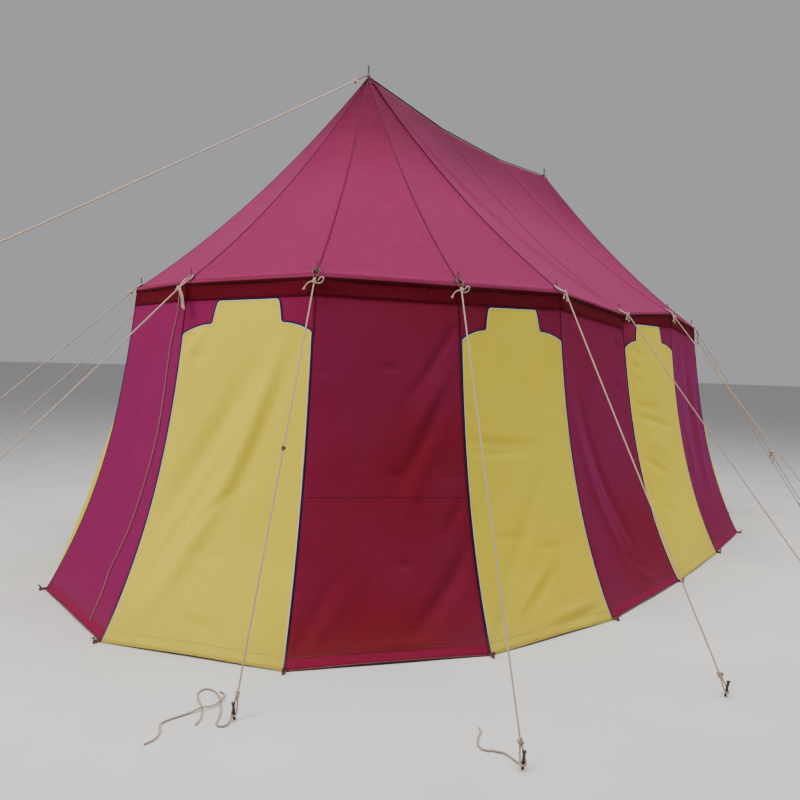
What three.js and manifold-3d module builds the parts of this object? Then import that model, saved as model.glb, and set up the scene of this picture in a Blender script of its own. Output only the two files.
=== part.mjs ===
// A two-pole oval pavilion of red and yellow canvas.
// The roof is one canopy of eighteen gores over two centre poles, and its ridge hangs free between them.
// Eighteen flared wall panels stand under the eave, with a side pole inside each corner.
// Every corner and both peaks are held by a guy rope that runs to its own peg.
// The long axis lies along X, the ground is z = 0, and the origin is midway between the rounded ends.
import * as THREE from 'three';
import * as BufferGeometryUtils from 'three/addons/utils/BufferGeometryUtils.js';
import Module from 'manifold-3d';

const wasm = await Module();
wasm.setup();

// Plan of the eave, in millimetres, and the distance between the centres of its rounded ends
const END_SPACING = 3200;
const EAVE_RADIUS = 1605;
const SIDE_BOW = 69;
const END_GORES = 6;
const SIDE_GORES = 3;

// Roof canopy
const EAVE_HEIGHT = 1990;
const EAVE_OVERHANG = 6;
const EAVE_DROP = 5;
const PEAK_PLACES = [-1567, 1529];
const PEAK_HEIGHTS = [3672, 3617];
const RIDGE_SAG = 95;
const ROOF_HOLLOW = 0.28;
const ROOF_ROWS = 6;
const ROOF_THICKNESS = 7;

// Walls
const BASE_FLARE = 505;
const FLARE_STRAIGHT_SHARE = 0.45;
const WALL_ROWS = 6;
const WALL_THICKNESS = 5;

// How each corner is pitched, counter-clockwise from the tip of the end at negative X: how far its eave
// stands out, round and up from its even place, and how far the foot of its wall is pegged out and round
const PITCH = [
  [0, -4, -24, 81, 63], [0, 4, 6, 33, 10], [-5, -16, -10, -73, 21], [14, 10, 23, -59, -17],
  [-8, -3, -38, -27, 76], [27, 12, 46, -64, 148], [17, 10, -20, -33, 100], [0, 0, 0, -50, 0],
  [0, 0, 0, 0, 0], [0, 0, 0, 0, 0], [0, 0, 0, 0, 0], [0, 0, 0, 0, 0], [0, 0, 0, 0, 0],
  [0, 0, 0, 0, 0], [0, 0, 0, 0, 0], [0, 0, 0, 0, 0], [0, 0, 0, 0, 0], [-6, -1, -18, 36, 74],
];

// Poles
const CENTRE_POLE_RADIUS = 30;
const CENTRE_POLE_SIDES = 12;
const CENTRE_SPIKE_RADIUS = 7;
const CENTRE_SPIKE_RISE = 88;
const POLE_SHOULDER_DROP = 48;
const POLE_HEAD_DROP = 18;
const SIDE_POLE_RADIUS = 13;
const SIDE_SPIKE_RADIUS = 4;
const SIDE_POLE_SIDES = 8;
const SIDE_SPIKE_RISE = 60;
const SIDE_POLE_SLACK = 1.5;
const SPIKE_POINT = 8;

// Ropes and pegs
const ROPE_SIDES = 6;
const EAVE_ROPE_RADIUS = 5;
const LOOSE_END_RADIUS = 4;
const PEAK_ROPE_RADIUS = 6;
const KNOT_RADIUS = 13;
const KNOT_DISTANCE = 48;
const PEG_KNOT_DISTANCE = 110;
const PEG_RADIUS = 6;
const PEG_HEIGHT = 80;
const PEG_HEAD_RADIUS = 9;
const PEG_HEAD_HEIGHT = 8;
const PEG_LEAN = 0.2;
const ROPE_ON_PEG = 28;
const PEAK_PEG_PLACE = 7680;

// How far each eave guy reaches over the ground from its corner's even place, and its swing in degrees
// off the outward line, from the tip of one end round one side to the tip of the other. The other side
// mirrors it, all but its last three guys.
const GUY_LAYOUT = [
  [2200, 0], [1050, -4], [1510, -18], [1450, -30], [1460, 0],
  [1630, 0], [1290, 30], [1510, 18], [1050, 4], [2200, 0],
];
const LAST_GUYS = [[1450, 0], [2000, 18], [2100, 0]];

// The loose rope end that hangs from the first corner's knot and lies against the red panel beside it:
// height, distance along the panel from the corner, and distance off the panel
const LOOSE_END_ROUTE = [
  [1920, 0, 40], [1900, 6, 40], [1872, 24, 34], [1834, 58, 22], [1780, 84, 12], [1700, 112, 7],
  [1590, 136, 6], [1450, 136, 6], [1300, 128, 6], [1150, 124, 6], [1000, 128, 6], [850, 144, 6],
  [700, 160, 6], [600, 172, 6], [500, 190, 6], [400, 222, 6], [300, 250, 6], [200, 240, 6],
  [110, 233, 6], [40, 232, 6],
];
const LOOSE_END_STEPS = 60;

// Gap left between solids that touch, and half the turn from one end panel to the next
const CLEARANCE = 0.3;
const HALF_CORNER_TURN = Math.PI / (2 * END_GORES);

const roofRed = new THREE.MeshStandardMaterial({ color: 0xa8324f, roughness: 0.85, metalness: 0 });
const wallRed = new THREE.MeshStandardMaterial({ color: 0x7c1d2f, roughness: 0.88, metalness: 0 });
const wallYellow = new THREE.MeshStandardMaterial({ color: 0xc9ac3e, roughness: 0.88, metalness: 0 });
const poleWood = new THREE.MeshStandardMaterial({ color: 0x9c7748, roughness: 0.7, metalness: 0 });
const ropeFibre = new THREE.MeshStandardMaterial({ color: 0xd8ccb4, roughness: 0.9, metalness: 0 });

const pavilion = new THREE.Group();

// Turns a closed geometry into a solid for joining and cutting
function toSolid(geometry) {
  const bare = geometry.clone();
  bare.deleteAttribute('normal');
  bare.deleteAttribute('uv');
  const merged = BufferGeometryUtils.mergeVertices(bare, 1e-4);
  return new wasm.Manifold(new wasm.Mesh({
    numProp: 3,
    vertProperties: new Float32Array(merged.attributes.position.array),
    triVerts: new Uint32Array(merged.index.array),
  }));
}

// Turns a solid back into a geometry
function toGeometry(solid) {
  const mesh = solid.getMesh();
  const geometry = new THREE.BufferGeometry();
  geometry.setAttribute('position', new THREE.BufferAttribute(new Float32Array(mesh.vertProperties), 3));
  geometry.setIndex(new THREE.BufferAttribute(new Uint32Array(mesh.triVerts), 1));
  geometry.computeVertexNormals();
  return geometry;
}

// Joins several closed geometries into one solid piece
function join(geometries) {
  let solid = toSolid(geometries[0]);
  for (const geometry of geometries.slice(1)) {
    solid = solid.add(toSolid(geometry));
  }
  return toGeometry(solid);
}

// Adds a named piece to the pavilion
function addPiece(name, geometry, material) {
  const mesh = new THREE.Mesh(geometry, material);
  mesh.name = name;
  pavilion.add(mesh);
}

// Two-figure number for a name
function numbered(name, number) {
  return `${name}_${String(number).padStart(2, '0')}`;
}

// Triangles given as rows of three points become one merged geometry
function geometryOf(triangles) {
  const points = triangles.flat();
  const geometry = new THREE.BufferGeometry();
  const values = new Float32Array(points.length * 3);
  points.forEach((point, index) => point.toArray(values, index * 3));
  geometry.setAttribute('position', new THREE.BufferAttribute(values, 3));
  return BufferGeometryUtils.mergeVertices(geometry, 1e-4);
}

// Splits a quad into two triangles and leaves out any that has collapsed to a line
function quad(a, b, c, d) {
  const distinct = (p, q, r) => !p.equals(q) && !q.equals(r) && !r.equals(p);
  const triangles = [];
  if (distinct(a, b, c)) triangles.push([a, b, c]);
  if (distinct(a, c, d)) triangles.push([a, c, d]);
  return triangles;
}

// A corner of the pavilion: how far along the ridge its roof seam starts and how far along the plan its
// centre lies, both as a share from the first end to the second, and which way it faces
function cornerAt(share, degrees) {
  const angle = THREE.MathUtils.degToRad(degrees);
  const hump = 4 * share * (1 - share);
  const ridgeX = THREE.MathUtils.lerp(...PEAK_PLACES, share);
  const ridgeZ = THREE.MathUtils.lerp(...PEAK_HEIGHTS, share) - RIDGE_SAG * hump;
  return {
    ridge: new THREE.Vector3(ridgeX, 0, ridgeZ),
    centre: new THREE.Vector2((share - 0.5) * END_SPACING, 0),
    outward: new THREE.Vector2(Math.cos(angle), Math.sin(angle)),
    round: new THREE.Vector2(-Math.sin(angle), Math.cos(angle)),
    evenReach: EAVE_RADIUS + SIDE_BOW * hump,
  };
}

// The eighteen corners, counter-clockwise from the tip of the end at negative X
function makeCorners() {
  const step = 180 / END_GORES;
  const ring = [];
  const addEnd = (share, from, to) => {
    for (let degrees = from; degrees <= to; degrees += step) {
      ring.push(cornerAt(share, degrees));
    }
  };
  const addSide = (degrees) => {
    for (let index = 1; index < SIDE_GORES; index += 1) {
      const share = index / SIDE_GORES;
      ring.push(cornerAt(degrees === 90 ? 1 - share : share, degrees));
    }
  };
  addEnd(0, 180, 270);
  addSide(270);
  addEnd(1, 270, 450);
  addSide(90);
  addEnd(0, 90, 150);
  return ring.map((corner, index) => {
    const [out, slide, rise, pull, drift] = PITCH[index];
    return { ...corner, reach: corner.evenReach + out, slide, rise, pull, drift };
  });
}

const corners = makeCorners();

// Plan point at a distance in or out from a corner's eave point, and round from it
function planPoint(corner, offset, around = 0) {
  return corner.centre.clone()
    .addScaledVector(corner.outward, corner.reach + offset)
    .addScaledVector(corner.round, corner.slide + around);
}

// A plan point lifted to a height
function lift(point, z) {
  return new THREE.Vector3(point.x, point.y, z);
}

// Height of the canopy's upper face where it passes over the wall at a corner
function roofAtWall(corner) {
  return EAVE_HEIGHT + EAVE_DROP + corner.rise;
}

// Height of the wall at a corner
function wallHeight(corner) {
  return roofAtWall(corner) - ROOF_THICKNESS - CLEARANCE - 0.1;
}

// Moves each side of a closed ring of plan points inwards by the same distance
function insetRing(ring, distance) {
  const outwardOf = (from, to) => new THREE.Vector2(to.y - from.y, from.x - to.x).normalize();
  return ring.map((point, index) => {
    const before = ring[(index + ring.length - 1) % ring.length];
    const after = ring[(index + 1) % ring.length];
    const first = outwardOf(before, point);
    const second = outwardOf(point, after);
    const mitre = first.clone().add(second);
    return point.clone().addScaledVector(mitre, -distance / (1 + first.dot(second)));
  });
}

// A point of a roof seam's upper face, where share runs from 0 on the ridge to 1 over the wall.
// The seam hangs below a straight line by a parabola.
function seamPoint(corner, share) {
  const wall = planPoint(corner, -EAVE_OVERHANG);
  const low = roofAtWall(corner);
  const rise = (corner.ridge.z - low) * (1 - share - ROOF_HOLLOW * share * (1 - share));
  return new THREE.Vector3(
    THREE.MathUtils.lerp(corner.ridge.x, wall.x, share),
    wall.y * share,
    low + rise,
  );
}

// Upright rod to cut a hole through the canopy at a height
function uprightRod(x, y, z, radius, sides) {
  const rod = new THREE.CylinderGeometry(radius, radius, 20 * ROOF_THICKNESS, sides);
  rod.rotateX(Math.PI / 2);
  rod.translate(x, y, z);
  return rod;
}

// How far a side pole's axis stands inside its wall corner
const SIDE_POLE_INSET = (WALL_THICKNESS + CLEARANCE + SIDE_POLE_RADIUS) / Math.cos(HALF_CORNER_TURN)
  + SIDE_POLE_SLACK;

// Plan point of the side pole inside a corner
function sidePolePoint(corner) {
  return planPoint(corner, -EAVE_OVERHANG - SIDE_POLE_INSET);
}

// Slope of the roof seam over a corner's side pole
function eaveSlope(corner) {
  const lastRow = seamPoint(corner, 1 - 1 / ROOF_ROWS);
  return (lastRow.z - roofAtWall(corner)) / ((corner.reach - EAVE_OVERHANG) / ROOF_ROWS);
}

// Height of the canopy's upper face over a corner's side pole
function roofAtSidePole(corner) {
  return roofAtWall(corner) + SIDE_POLE_INSET * eaveSlope(corner);
}

// The canopy: rows of seam points from the ridge to the eave, with the same rows below them as the
// inner face, and a hole for every spike
function makeRoof() {
  const rows = [];
  for (let row = 0; row <= ROOF_ROWS; row += 1) {
    rows.push(corners.map((corner) => seamPoint(corner, row / ROOF_ROWS)));
  }
  rows.push(corners.map((corner) => lift(planPoint(corner, 0), EAVE_HEIGHT + corner.rise)));
  const drop = new THREE.Vector3(0, 0, -ROOF_THICKNESS);
  const below = rows.map((row) => row.map((point) => point.clone().add(drop)));
  const triangles = [];
  for (let row = 0; row + 1 < rows.length; row += 1) {
    for (let index = 0; index < corners.length; index += 1) {
      const next = (index + 1) % corners.length;
      const [upper, lower] = [rows[row], rows[row + 1]];
      triangles.push(...quad(upper[index], lower[index], lower[next], upper[next]));
      const [upperIn, lowerIn] = [below[row], below[row + 1]];
      triangles.push(...quad(upperIn[index], upperIn[next], lowerIn[next], lowerIn[index]));
    }
  }
  const [edge, edgeIn] = [rows.at(-1), below.at(-1)];
  for (let index = 0; index < corners.length; index += 1) {
    const next = (index + 1) % corners.length;
    triangles.push(...quad(edge[index], edgeIn[index], edgeIn[next], edge[next]));
  }
  let solid = toSolid(geometryOf(triangles));
  const peakHole = CENTRE_SPIKE_RADIUS + 2 * CLEARANCE;
  PEAK_PLACES.forEach((poleX, end) => {
    const hole = uprightRod(poleX, 0, PEAK_HEIGHTS[end], peakHole, CENTRE_POLE_SIDES);
    solid = solid.subtract(toSolid(hole));
  });
  const eyeHole = SIDE_SPIKE_RADIUS + 2 * CLEARANCE;
  for (const corner of corners) {
    const point = sidePolePoint(corner);
    const hole = uprightRod(point.x, point.y, roofAtSidePole(corner), eyeHole, SIDE_POLE_SIDES);
    solid = solid.subtract(toSolid(hole));
  }
  return toGeometry(solid);
}

// Share of the wall's whole flare at a share of the drop from the eave to the ground
function wallFlare(share) {
  return FLARE_STRAIGHT_SHARE * share + (1 - FLARE_STRAIGHT_SHARE) * share ** 3;
}

// Ring of outer wall points at a share of the drop from the eave, straight between the rows of the wall
function wallRing(share) {
  const row = Math.min(Math.floor(share * WALL_ROWS), WALL_ROWS - 1);
  const [above, below] = [wallFlare(row / WALL_ROWS), wallFlare((row + 1) / WALL_ROWS)];
  const flare = THREE.MathUtils.lerp(above, below, share * WALL_ROWS - row);
  return corners.map((corner) => {
    return planPoint(corner, flare * (BASE_FLARE + corner.pull) - EAVE_OVERHANG, flare * corner.drift);
  });
}

// One wall panel between two corners: four-sided sections stacked from the eave to the ground. Its outer
// and inner faces are split along the same diagonals, so that a twisted panel keeps its thickness.
function makeWallPanel(index) {
  const next = (index + 1) % corners.length;
  const sections = [];
  for (let row = 0; row <= WALL_ROWS; row += 1) {
    const share = row / WALL_ROWS;
    const z = wallHeight(corners[index]) * (1 - share);
    const nextZ = wallHeight(corners[next]) * (1 - share);
    const outer = wallRing(share);
    const inner = insetRing(outer, WALL_THICKNESS);
    const along = outer[next].clone().sub(outer[index]).normalize();
    const trim = along.multiplyScalar(CLEARANCE / 2 / Math.cos(HALF_CORNER_TURN));
    sections.push([
      lift(outer[index].clone().add(trim), z),
      lift(outer[next].clone().sub(trim), nextZ),
      lift(inner[next].clone().sub(trim), nextZ),
      lift(inner[index].clone().add(trim), z),
    ]);
  }
  const triangles = [];
  for (let row = 0; row < WALL_ROWS; row += 1) {
    const [upper, lower] = [sections[row], sections[row + 1]];
    triangles.push(...quad(upper[0], lower[0], lower[1], upper[1]));
    triangles.push(...quad(upper[1], lower[1], lower[2], upper[2]));
    triangles.push(...quad(lower[2], lower[3], upper[3], upper[2]));
    triangles.push(...quad(upper[3], lower[3], lower[0], upper[0]));
  }
  const [top, foot] = [sections[0], sections.at(-1)];
  triangles.push(...quad(top[0], top[1], top[2], top[3]));
  triangles.push(...quad(foot[0], foot[3], foot[2], foot[1]));
  return geometryOf(triangles);
}

// A turned pole with a steel spike in its top, from a profile of radii and heights
function makePole(x, y, profile, sides) {
  const points = profile.map(([radius, z]) => new THREE.Vector2(radius, z));
  const pole = new THREE.LatheGeometry(points, sides);
  pole.rotateX(Math.PI / 2);
  pole.translate(x, y, 0);
  return pole;
}

// Centre pole, tapered at its head to sit under the peak of the canopy
function makeCentrePole(end) {
  const shoulder = PEAK_HEIGHTS[end] - POLE_SHOULDER_DROP;
  const head = PEAK_HEIGHTS[end] - POLE_HEAD_DROP;
  const tip = PEAK_HEIGHTS[end] + CENTRE_SPIKE_RISE;
  return makePole(PEAK_PLACES[end], 0, [
    [0, 0],
    [CENTRE_POLE_RADIUS, 0],
    [CENTRE_POLE_RADIUS, shoulder],
    [CENTRE_SPIKE_RADIUS, head],
    [CENTRE_SPIKE_RADIUS, tip - SPIKE_POINT],
    [CENTRE_SPIKE_RADIUS / 2, tip],
    [0, tip],
  ], CENTRE_POLE_SIDES);
}

// Side pole, whose spike stands through the eye in the canopy's corner
function makeSidePole(corner) {
  const point = sidePolePoint(corner);
  const shoulder = wallHeight(corner);
  const tip = roofAtSidePole(corner) + SIDE_SPIKE_RISE;
  return makePole(point.x, point.y, [
    [0, 0],
    [SIDE_POLE_RADIUS, 0],
    [SIDE_POLE_RADIUS, shoulder],
    [SIDE_SPIKE_RADIUS, shoulder],
    [SIDE_SPIKE_RADIUS, tip - SPIKE_POINT],
    [SIDE_SPIKE_RADIUS / 2, tip],
    [0, tip],
  ], SIDE_POLE_SIDES);
}

// Straight stretch of rope between two points, with a round knot at each distance from its start
function ropeBetween(from, to, radius, knots = []) {
  const run = to.clone().sub(from);
  const profile = [[0, 0], [radius, 0]];
  for (const distance of knots) {
    profile.push([radius, distance - KNOT_RADIUS]);
    profile.push([KNOT_RADIUS, distance - KNOT_RADIUS / 2]);
    profile.push([KNOT_RADIUS, distance + KNOT_RADIUS / 2]);
    profile.push([radius, distance + KNOT_RADIUS]);
  }
  profile.push([radius, run.length()], [0, run.length()]);
  const stretch = new THREE.LatheGeometry(profile.map(([x, y]) => new THREE.Vector2(x, y)), ROPE_SIDES);
  const upright = new THREE.Vector3(0, 1, 0);
  stretch.applyQuaternion(new THREE.Quaternion().setFromUnitVectors(upright, run.clone().normalize()));
  stretch.translate(from.x, from.y, from.z);
  return stretch;
}

// Level eye of rope round a spike
function ropeEye(centre, ringRadius, radius) {
  const ring = new THREE.TorusGeometry(ringRadius, radius, ROPE_SIDES, 8);
  ring.translate(centre.x, centre.y, centre.z);
  return ring;
}

// Steel peg driven to the ground line, leaning away from the pavilion, with a turn of rope round it
function makePeg(foot, direction, ropeRadius) {
  const turnRadius = PEG_RADIUS + ropeRadius;
  const peg = makePole(0, 0, [
    [0, 0],
    [PEG_RADIUS, 0],
    [PEG_RADIUS, ROPE_ON_PEG - ropeRadius],
    [turnRadius, ROPE_ON_PEG - ropeRadius / 2],
    [turnRadius, ROPE_ON_PEG + ropeRadius / 2],
    [PEG_RADIUS, ROPE_ON_PEG + ropeRadius],
    [PEG_RADIUS, PEG_HEIGHT - PEG_HEAD_HEIGHT],
    [PEG_HEAD_RADIUS, PEG_HEIGHT - PEG_HEAD_HEIGHT],
    [PEG_HEAD_RADIUS, PEG_HEIGHT],
    [0, PEG_HEIGHT],
  ], ROPE_SIDES);
  const lean = new THREE.Matrix4().makeShear(0, 0, 0, 0, direction.x * PEG_LEAN, direction.y * PEG_LEAN);
  peg.applyMatrix4(lean);
  peg.translate(foot.x, foot.y, 0);
  return peg;
}

// A guy rope with its peg: an eye over the spike, the points that the rope passes, and a knot near each
// end of its long stretch
function makeGuy(eyeCentre, eyeRadius, bends, pegFoot, direction, radius) {
  const onPeg = lift(pegFoot.clone().addScaledVector(direction, ROPE_ON_PEG * PEG_LEAN), ROPE_ON_PEG);
  const pieces = [ropeEye(eyeCentre, eyeRadius, radius)];
  for (let index = 0; index + 1 < bends.length; index += 1) {
    pieces.push(ropeBetween(bends[index], bends[index + 1], radius));
  }
  const last = bends.at(-1);
  const length = last.distanceTo(onPeg);
  pieces.push(ropeBetween(last, onPeg, radius, [KNOT_DISTANCE, length - PEG_KNOT_DISTANCE]));
  pieces.push(makePeg(pegFoot, direction, radius));
  return join(pieces);
}

// Reach and swing of the eave guy at a corner
function guyLayout(index) {
  const tip = GUY_LAYOUT.length - 1;
  if (index <= tip) return GUY_LAYOUT[index];
  const firstLast = corners.length - LAST_GUYS.length;
  if (index >= firstLast) return LAST_GUYS[index - firstLast];
  const [reach, swing] = GUY_LAYOUT[2 * tip - index];
  return [reach, -swing];
}

// Eave guy: from the corner's spike, over the hem of the canopy, and down to its peg
function makeEaveGuy(index) {
  const corner = corners[index];
  const [reach, swing] = guyLayout(index);
  const spike = sidePolePoint(corner);
  const eyeRadius = SIDE_SPIKE_RADIUS + 2 * CLEARANCE + EAVE_ROPE_RADIUS;
  const eyeWidth = eyeRadius + EAVE_ROPE_RADIUS;
  const eyeHeight = roofAtSidePole(corner) + eyeWidth * eaveSlope(corner) + EAVE_ROPE_RADIUS + CLEARANCE;
  const start = spike.clone().addScaledVector(corner.outward, eyeRadius);
  const overHem = planPoint(corner, 1.6 * EAVE_ROPE_RADIUS);
  const direction = corner.outward.clone().rotateAround(new THREE.Vector2(), THREE.MathUtils.degToRad(swing));
  const evenEave = corner.centre.clone().addScaledVector(corner.outward, corner.evenReach);
  const pegFoot = evenEave.addScaledVector(direction, reach);
  const hemHeight = EAVE_HEIGHT + corner.rise + EAVE_ROPE_RADIUS;
  const bends = [lift(start, eyeHeight), lift(overHem, hemHeight)];
  return makeGuy(lift(spike, eyeHeight), eyeRadius, bends, pegFoot, direction, EAVE_ROPE_RADIUS);
}

// Peak guy: from the centre pole's spike straight down to a far peg in line with the ridge
function makePeakGuy(end) {
  const side = Math.sign(PEAK_PLACES[end]);
  const eyeRadius = CENTRE_SPIKE_RADIUS + 2 * CLEARANCE + PEAK_ROPE_RADIUS;
  const eyeHeight = PEAK_HEIGHTS[end] + PEAK_ROPE_RADIUS + CLEARANCE;
  const eye = new THREE.Vector3(PEAK_PLACES[end], 0, eyeHeight);
  const start = new THREE.Vector3(PEAK_PLACES[end] + side * eyeRadius, 0, eyeHeight);
  const direction = new THREE.Vector2(side, 0);
  const pegFoot = new THREE.Vector2(side * PEAK_PEG_PLACE, 0);
  return makeGuy(eye, eyeRadius, [start], pegFoot, direction, PEAK_ROPE_RADIUS);
}

// The loose end of the first corner's rope, lying down the face of the last wall panel
function makeLooseEnd() {
  const route = LOOSE_END_ROUTE.map(([z, distance, standOff]) => {
    const ring = insetRing(wallRing(1 - z / wallHeight(corners[0])), -standOff);
    const along = ring.at(-1).clone().sub(ring[0]).normalize();
    return lift(ring[0].clone().addScaledVector(along, distance), z);
  });
  const section = new THREE.Shape();
  section.absarc(0, 0, LOOSE_END_RADIUS, 0, 2 * Math.PI, false);
  return new THREE.ExtrudeGeometry(section, {
    curveSegments: 4,
    steps: LOOSE_END_STEPS,
    extrudePath: new THREE.CatmullRomCurve3(route),
  });
}

addPiece('roof_canopy', makeRoof(), roofRed);
corners.forEach((corner, index) => {
  const material = index % 2 === 0 ? wallYellow : wallRed;
  addPiece(numbered('wall_panel', index + 1), makeWallPanel(index), material);
});
addPiece('centre_pole_1', makeCentrePole(0), poleWood);
addPiece('centre_pole_2', makeCentrePole(1), poleWood);
corners.forEach((corner, index) => {
  addPiece(numbered('side_pole', index + 1), makeSidePole(corner), poleWood);
});
corners.forEach((corner, index) => {
  addPiece(numbered('eave_guy', index + 1), makeEaveGuy(index), ropeFibre);
});
addPiece('peak_guy_1', makePeakGuy(0), ropeFibre);
addPiece('peak_guy_2', makePeakGuy(1), ropeFibre);
addPiece('loose_rope_end', makeLooseEnd(), ropeFibre);

export default pavilion;
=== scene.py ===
"""Dresses the two-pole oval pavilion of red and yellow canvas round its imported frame.

Everything is in metres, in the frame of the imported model: the long axis along X, the ground at z = 0.
Corners are numbered from 0 at the tip of the end at negative X, counter-clockwise seen from above. A turn
is a place round the tent: 3.5 is halfway between corners 3 and 4.
"""
import logging
import math
from dataclasses import dataclass
from enum import Enum

import bmesh
import bpy
import numpy as np
from mathutils import Matrix, Vector


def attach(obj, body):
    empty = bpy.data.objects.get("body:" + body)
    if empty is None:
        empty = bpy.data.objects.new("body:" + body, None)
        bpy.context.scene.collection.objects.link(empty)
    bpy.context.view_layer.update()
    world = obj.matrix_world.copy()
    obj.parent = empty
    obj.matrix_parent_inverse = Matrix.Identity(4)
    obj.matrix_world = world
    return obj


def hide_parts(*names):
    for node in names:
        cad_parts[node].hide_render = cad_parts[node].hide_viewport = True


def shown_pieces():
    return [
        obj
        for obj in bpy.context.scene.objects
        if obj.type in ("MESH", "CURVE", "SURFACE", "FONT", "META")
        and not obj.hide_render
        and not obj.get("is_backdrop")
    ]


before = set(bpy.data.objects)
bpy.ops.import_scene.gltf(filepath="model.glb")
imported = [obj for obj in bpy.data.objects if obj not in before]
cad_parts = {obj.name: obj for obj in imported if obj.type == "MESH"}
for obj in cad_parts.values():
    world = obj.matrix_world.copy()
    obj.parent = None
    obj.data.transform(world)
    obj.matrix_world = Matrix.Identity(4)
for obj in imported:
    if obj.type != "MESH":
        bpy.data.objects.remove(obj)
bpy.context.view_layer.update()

BODY = "root"
UP = np.array([0.0, 0.0, 1.0])
Array = np.ndarray
log = logging.getLogger("pavilion")


class Cloth(Enum):
    """The two kinds of wall panel."""

    RED = "red"
    YELLOW = "yellow"


# Small vector helpers


def unit(vectors: Array) -> Array:
    """Vectors divided by their own lengths."""
    return vectors / np.maximum(np.linalg.norm(vectors, axis=-1, keepdims=True), 1e-12)


def matched(*values: Array | float) -> list[Array]:
    """The values as arrays of one shape."""
    return np.broadcast_arrays(*(np.asarray(value, float) for value in values))


def stacked(*values: Array | float) -> Array:
    """Points or texture places from their coordinates."""
    return np.stack(matched(*values), -1)


def arch(share: Array) -> Array:
    """Half a sine wave: 0 at 0 and at 1, and 1 halfway."""
    return np.sin(np.pi * share)


def smooth_step(values: Array, start: float, end: float) -> Array:
    """Rises from 0 at start to 1 at end as three t squared less two t cubed."""
    share = np.clip((np.asarray(values, float) - start) / (end - start), 0, 1)
    return share * share * (3 - 2 * share)


def smooth_path(points: list | Array, count: int) -> Array:
    """A smooth curve through given points.

    Each span is a Catmull-Rom cubic, whose slope at a point is half the step between its two neighbours.

    Args:
        points: The points that the curve passes, in order.
        count: How many evenly timed points to return.

    Returns:
        The curve's points, count by 3.
    """
    knots = np.asarray(points, float)
    padded = np.vstack([2 * knots[0] - knots[1], knots, 2 * knots[-1] - knots[-2]])
    time = np.linspace(0, len(knots) - 1, count)
    span = np.minimum(time.astype(int), len(knots) - 2)
    t = (time - span)[:, None]
    before, first, second, after = (padded[span + step] for step in range(4))
    slope_in, slope_out = (second - before) / 2, (after - first) / 2
    bend = 2 * (first - second) + slope_in + slope_out
    return first + t * (slope_in + t * (3 * (second - first) - 2 * slope_in - slope_out + t * bend))


def run_along(path: Array) -> Array:
    """How far along a path each of its points lies."""
    return np.concatenate([[0], np.cumsum(np.linalg.norm(np.diff(path, axis=0), axis=1))])


def even_path(path: Array, step: float) -> Array:
    """The same path with its points about a step apart, both ends kept."""
    run = run_along(path)
    places = np.linspace(0, run[-1], max(int(run[-1] / step), 2) + 1)
    return np.stack([np.interp(places, run, path[:, axis]) for axis in range(3)], -1)


def carried_normals(path: Array, start: Array = UP) -> Array:
    """One normal for each point of a path, turned as little as possible from one point to the next.

    Each step takes the last normal and removes the part of it that lies along the new direction.

    Args:
        path: The path's points.
        start: A vector near the first normal. A slanting one takes its place if it lies along the path.

    Returns:
        Unit normals, one a point.
    """
    along = unit(np.gradient(path, axis=0))
    normal = start if abs(unit(start) @ along[0]) <= 0.95 else np.array([0.3, 0.9, 0.1])
    found = []
    for direction in along:
        normal = unit(normal - direction * (normal @ direction))
        found.append(normal)
    return np.array(found)


def level_axes(direction: Array) -> tuple[Array, Array]:
    """A level direction and the one to its left, both in space."""
    return np.append(direction[:2], 0.0), np.array([-direction[1], direction[0], 0.0])


def placed(steps: tuple | list | Array, origin: Array, *axes: Array) -> Array:
    """Points that lie the given steps from an origin along each of the axes."""
    return origin + np.asarray(steps, float) @ np.stack(axes)


# Meshes from grids


@dataclass(frozen=True)
class Section:
    """The section of a rope, cord or tape that is carried along a path.

    The edge is a rounded box: each of cosine and sine is raised to squareness. A laid rope swells and
    shrinks round its edge with its strands, which turn once in every lay metres.
    """

    half_width: float
    half_height: float
    sides: int = 8
    squareness: float = 1.0
    strands: int = 0
    strand_depth: float = 0.0
    lay: float = 0.045

    def carry(self, path: Array, normals: Array) -> tuple[Array, Array]:
        """Carries the section along a path.

        Args:
            path: Points of the centre line.
            normals: A unit normal at each point, or one for all, which the half height follows.

        Returns:
            The grid's points and its texture places: round the section, and along the path.
        """
        normals = np.broadcast_to(normals, path.shape)
        across = np.cross(unit(np.gradient(path, axis=0)), normals)
        angle = np.linspace(0, 2 * np.pi, self.sides + 1)[None, :]
        run = run_along(path)[:, None]
        waves = np.cos(angle), -np.sin(angle)
        up, out = (np.sign(wave) * np.abs(wave) ** self.squareness for wave in waves)
        swell = 1.0
        if self.strands:
            phase = self.strands / 2 * (angle - 2 * np.pi * run / self.lay)
            swell = 1 - self.strand_depth * (1 - np.abs(np.cos(phase)))
        offset = (normals[:, None] * (up * self.half_height * swell)[..., None]
                  + across[:, None] * (out * self.half_width * swell)[..., None])
        return path[:, None] + offset, stacked(angle / (2 * np.pi), run)

    def spacing(self) -> float:
        """A good step between the points of a laid rope's path."""
        return self.lay / 5.8


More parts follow.
